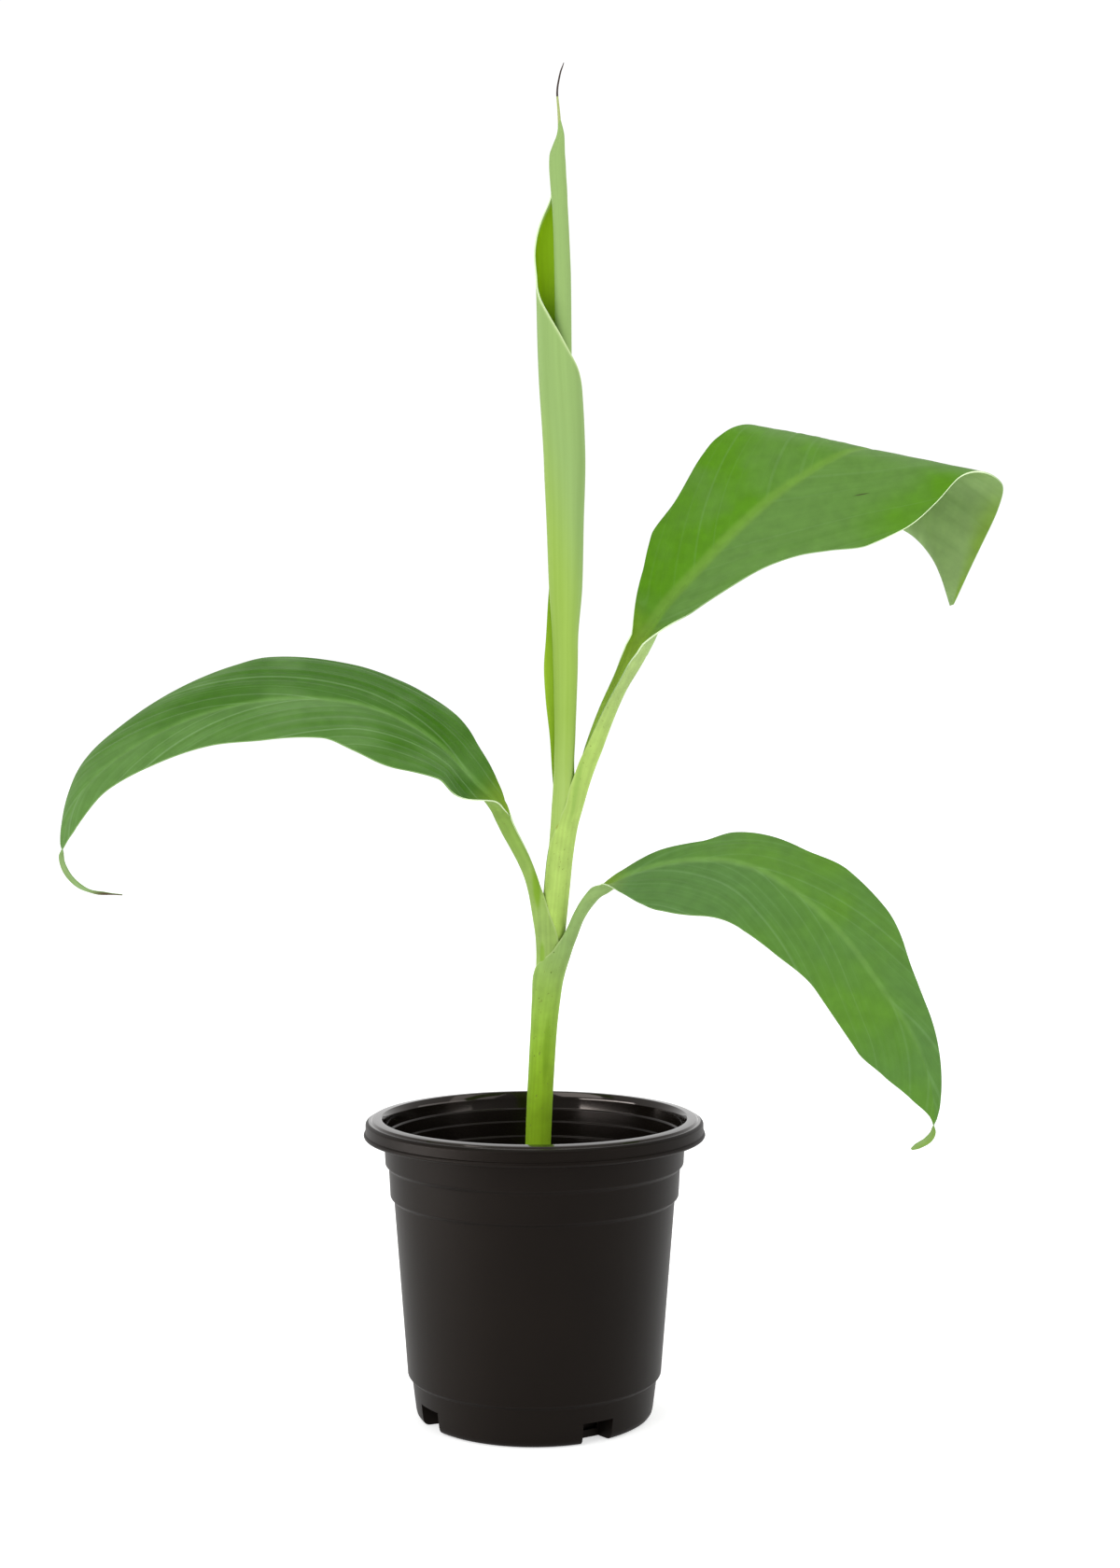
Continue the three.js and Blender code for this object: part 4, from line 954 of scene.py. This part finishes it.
# the fill: level rings up its side, then rings shrinking to the middle of the top
def makeSoil(spec, skin):
    angle = np.linspace(0, 2 * np.pi, spec["around"], endpoint=False)[None, :]
    share = np.linspace(1, spec["middle"], spec["rings"])[:, None]
    x, y = spec["radius"] * share * np.cos(angle), spec["radius"] * share * np.sin(angle)
    wall = np.array(spec["wall"])
    radius = wall[:, :1] + 0 * angle
    byNotch = awayFromNotch(potShape, angle[0]) < spec["nearNotch"]
    radius[0] = np.where(byNotch, potShape["insideBack"] - spec["clear"], radius[0])
    sides = np.stack([radius * np.cos(angle), radius * np.sin(angle), wall[:, 1:] + 0 * angle], -1)
    points = np.concatenate([sides, np.stack([x, y, soilTop(spec, x, y)], -1)])
    quads = tubeQuads(len(points), spec["around"])
    piece = addPiece("peat_fill", points.reshape(-1, 3), quads, [skin], sharpOver=80)
    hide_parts("soil")
    return piece


# Crumbs of bark on the mix: how many, half-size and how far most are small, the ring of ground they lie
# on, the rings of each and where the last is on its ball, how uneven and how flattened they are
barkCrumbs = {"count": 1500, "size": (0.5, 1.9), "mostSmall": 3, "near": 9.5, "far": 42.5, "rings": 4,
              "around": 6, "lastRing": 1.1, "uneven": (0.7, 1.2), "flatten": (0.5, 1), "seed": 11}


# each crumb is a ball of a few rings with every point moved in or out by chance, then stretched, turned
# about the upright and set down half sunk in the mix
def makeCrumbs(spec, skin):
    chance = np.random.default_rng(spec["seed"])
    count = spec["count"]
    rise = np.linspace(-spec["lastRing"], spec["lastRing"], spec["rings"])[:, None]
    angle = np.linspace(0, 2 * np.pi, spec["around"], endpoint=False)[None, :]
    ball = np.stack([np.cos(rise) * np.cos(angle), np.cos(rise) * np.sin(angle),
                     np.sin(rise) + 0 * angle], -1).reshape(-1, 3)
    ball = ball * chance.uniform(*spec["uneven"], (count, len(ball), 1))
    small, large = spec["size"]
    size = small + (large - small) * chance.uniform(0, 1, (count, 1, 1)) ** spec["mostSmall"]
    ball = ball * size * chance.uniform(*spec["flatten"], (count, 1, 3))
    away = np.sqrt(chance.uniform(spec["near"] ** 2, spec["far"] ** 2, (count, 1)))
    where, turn = chance.uniform(0, 2 * np.pi, (2, count, 1))
    x, y = away * np.cos(where), away * np.sin(where)
    points = np.stack([x + ball[..., 0] * np.cos(turn) - ball[..., 1] * np.sin(turn),
                       y + ball[..., 0] * np.sin(turn) + ball[..., 1] * np.cos(turn),
                       soilTop(soilShape, x, y) + ball[..., 2]], -1)
    quads = tubeQuads(spec["rings"], spec["around"]) + np.arange(count)[:, None, None] * ball.shape[1]
    piece = addPiece("bark_crumbs", points.reshape(-1, 3), quads.reshape(-1, 4), [skin], sharpOver=30)
    return piece


peat = soilMaterial()
makeSoil(soilShape, peat)
makeCrumbs(barkCrumbs, peat)
print("soil made")

# Stage: a pale floor, soft light and the photograph's camera
studio = {"floorSize": 30, "paper": (0.85, 0.85, 0.85, 1), "paperGlow": 0.55,
          "cameraPlace": (0.0081, -0.695, 0.2145), "lens": 50, "shift": -0.0289}
floorMesh = bpy.data.meshes.new("floor")
half = studio["floorSize"] / 2
floorCorners = [(-half, -half, 0), (half, -half, 0), (half, half, 0), (-half, half, 0)]
floorMesh.from_pydata(floorCorners, [], [(0, 1, 2, 3)])
floor = bpy.data.objects.new("floor", floorMesh)
scene.collection.objects.link(floor)
paper = newMaterial("studioPaper", Roughness=0.9, Base_Color=studio["paper"],
                    Emission_Color=(1, 1, 1, 1), Emission_Strength=studio["paperGlow"])[0]
floorMesh.materials.append(paper)

camera = bpy.data.objects.new("camera", bpy.data.cameras.new("camera"))
camera.data.lens = studio["lens"]
camera.data.shift_y = studio["shift"]
camera.location = studio["cameraPlace"]
camera.rotation_euler = (math.pi / 2, 0, 0)
scene.collection.objects.link(camera)
scene.camera = camera

# name: place, the point it looks at, width, height and power; the low boxes are flagged off the leaves
lights = {"keyLight": ((-1.0, -1.2, 1.4), (0, 0, 0.2), 1.2, 1.2, 14),
          "fillLight": ((1.2, -0.9, 0.9), (0, 0, 0.2), 1.2, 1.2, 6),
          "topLight": ((0.1, 0.3, 1.9), (0, 0, 0.2), 1.4, 1.4, 7),
          "lowLeftBox": ((-0.62, -0.33, 0.2), (0, 0, 0.08), 0.66, 0.1, 2.4),
          "lowRightBox": ((0.69, -0.12, 0.2), (0, 0, 0.08), 0.72, 0.13, 0.5),
          "lowWallBox": ((-0.66, -0.18, 0.045), (0, 0, 0.045), 0.5, 0.07, 2.8)}
potOnly = bpy.data.collections.new("potOnly")
potOnly.objects.link(bpy.data.objects["moulded_pot"])
for name, (place, target, width, height, power) in lights.items():
    data = bpy.data.lights.new(name, "AREA")
    data.shape = "RECTANGLE"
    data.size, data.size_y = width, height
    data.energy = power
    lamp = bpy.data.objects.new(name, data)
    lamp.location = place
    lamp.rotation_euler = (Vector(target) - Vector(place)).to_track_quat("-Z", "Y").to_euler()
    if name.startswith("low"):
        lamp.light_linking.receiver_collection = potOnly
    scene.collection.objects.link(lamp)

# the room is bright at the sides and behind, most of all low behind, darker on the camera's side, and
# plain white in the picture
roomLight = {"front": 0.25, "sides": 0.75, "lowBehind": 0.4, "picture": 1.05,
             "frontToSides": (-1, -0.1), "sidesToBack": (0.3, 0.8), "highToLow": (0.5, 0.2)}
world = bpy.data.worlds.new("studio")
world.use_nodes = True
roomTree = world.node_tree
roomTree.nodes.clear()
way = addNode(roomTree, "SeparateXYZ", {"Vector": addNode(roomTree, "TexCoord").outputs["Generated"]})
start, end = roomLight["frontToSides"]
room = addNode(roomTree, "MapRange", {"Value": way.outputs["Y"], "From Min": start, "From Max": end,
                                      "To Min": roomLight["front"], "To Max": roomLight["sides"]},
               interpolation_type="SMOOTHSTEP")
start, end = roomLight["sidesToBack"]
behind = addNode(roomTree, "MapRange", {"Value": way.outputs["Y"], "From Min": start, "From Max": end,
                                        "To Max": roomLight["lowBehind"]})
start, end = roomLight["highToLow"]
low = addNode(roomTree, "MapRange", {"Value": way.outputs["Z"], "From Min": start, "From Max": end})
glow = addNode(roomTree, "Math", {0: behind.outputs["Result"], 1: low.outputs["Result"],
                                  2: room.outputs["Result"]}, operation="MULTIPLY_ADD")
seen = addNode(roomTree, "Mix", {0: addNode(roomTree, "LightPath").outputs["Is Camera Ray"],
                                 2: glow.outputs[0], 3: roomLight["picture"]})
backdrop = addNode(roomTree, "Background", {"Color": (1, 1, 1, 1), "Strength": seen.outputs[0]})
addNode(roomTree, "OutputWorld", {"Surface": backdrop.outputs["Background"]})
scene.world = world
scene.view_settings.view_transform = "Standard"
print("stage made")
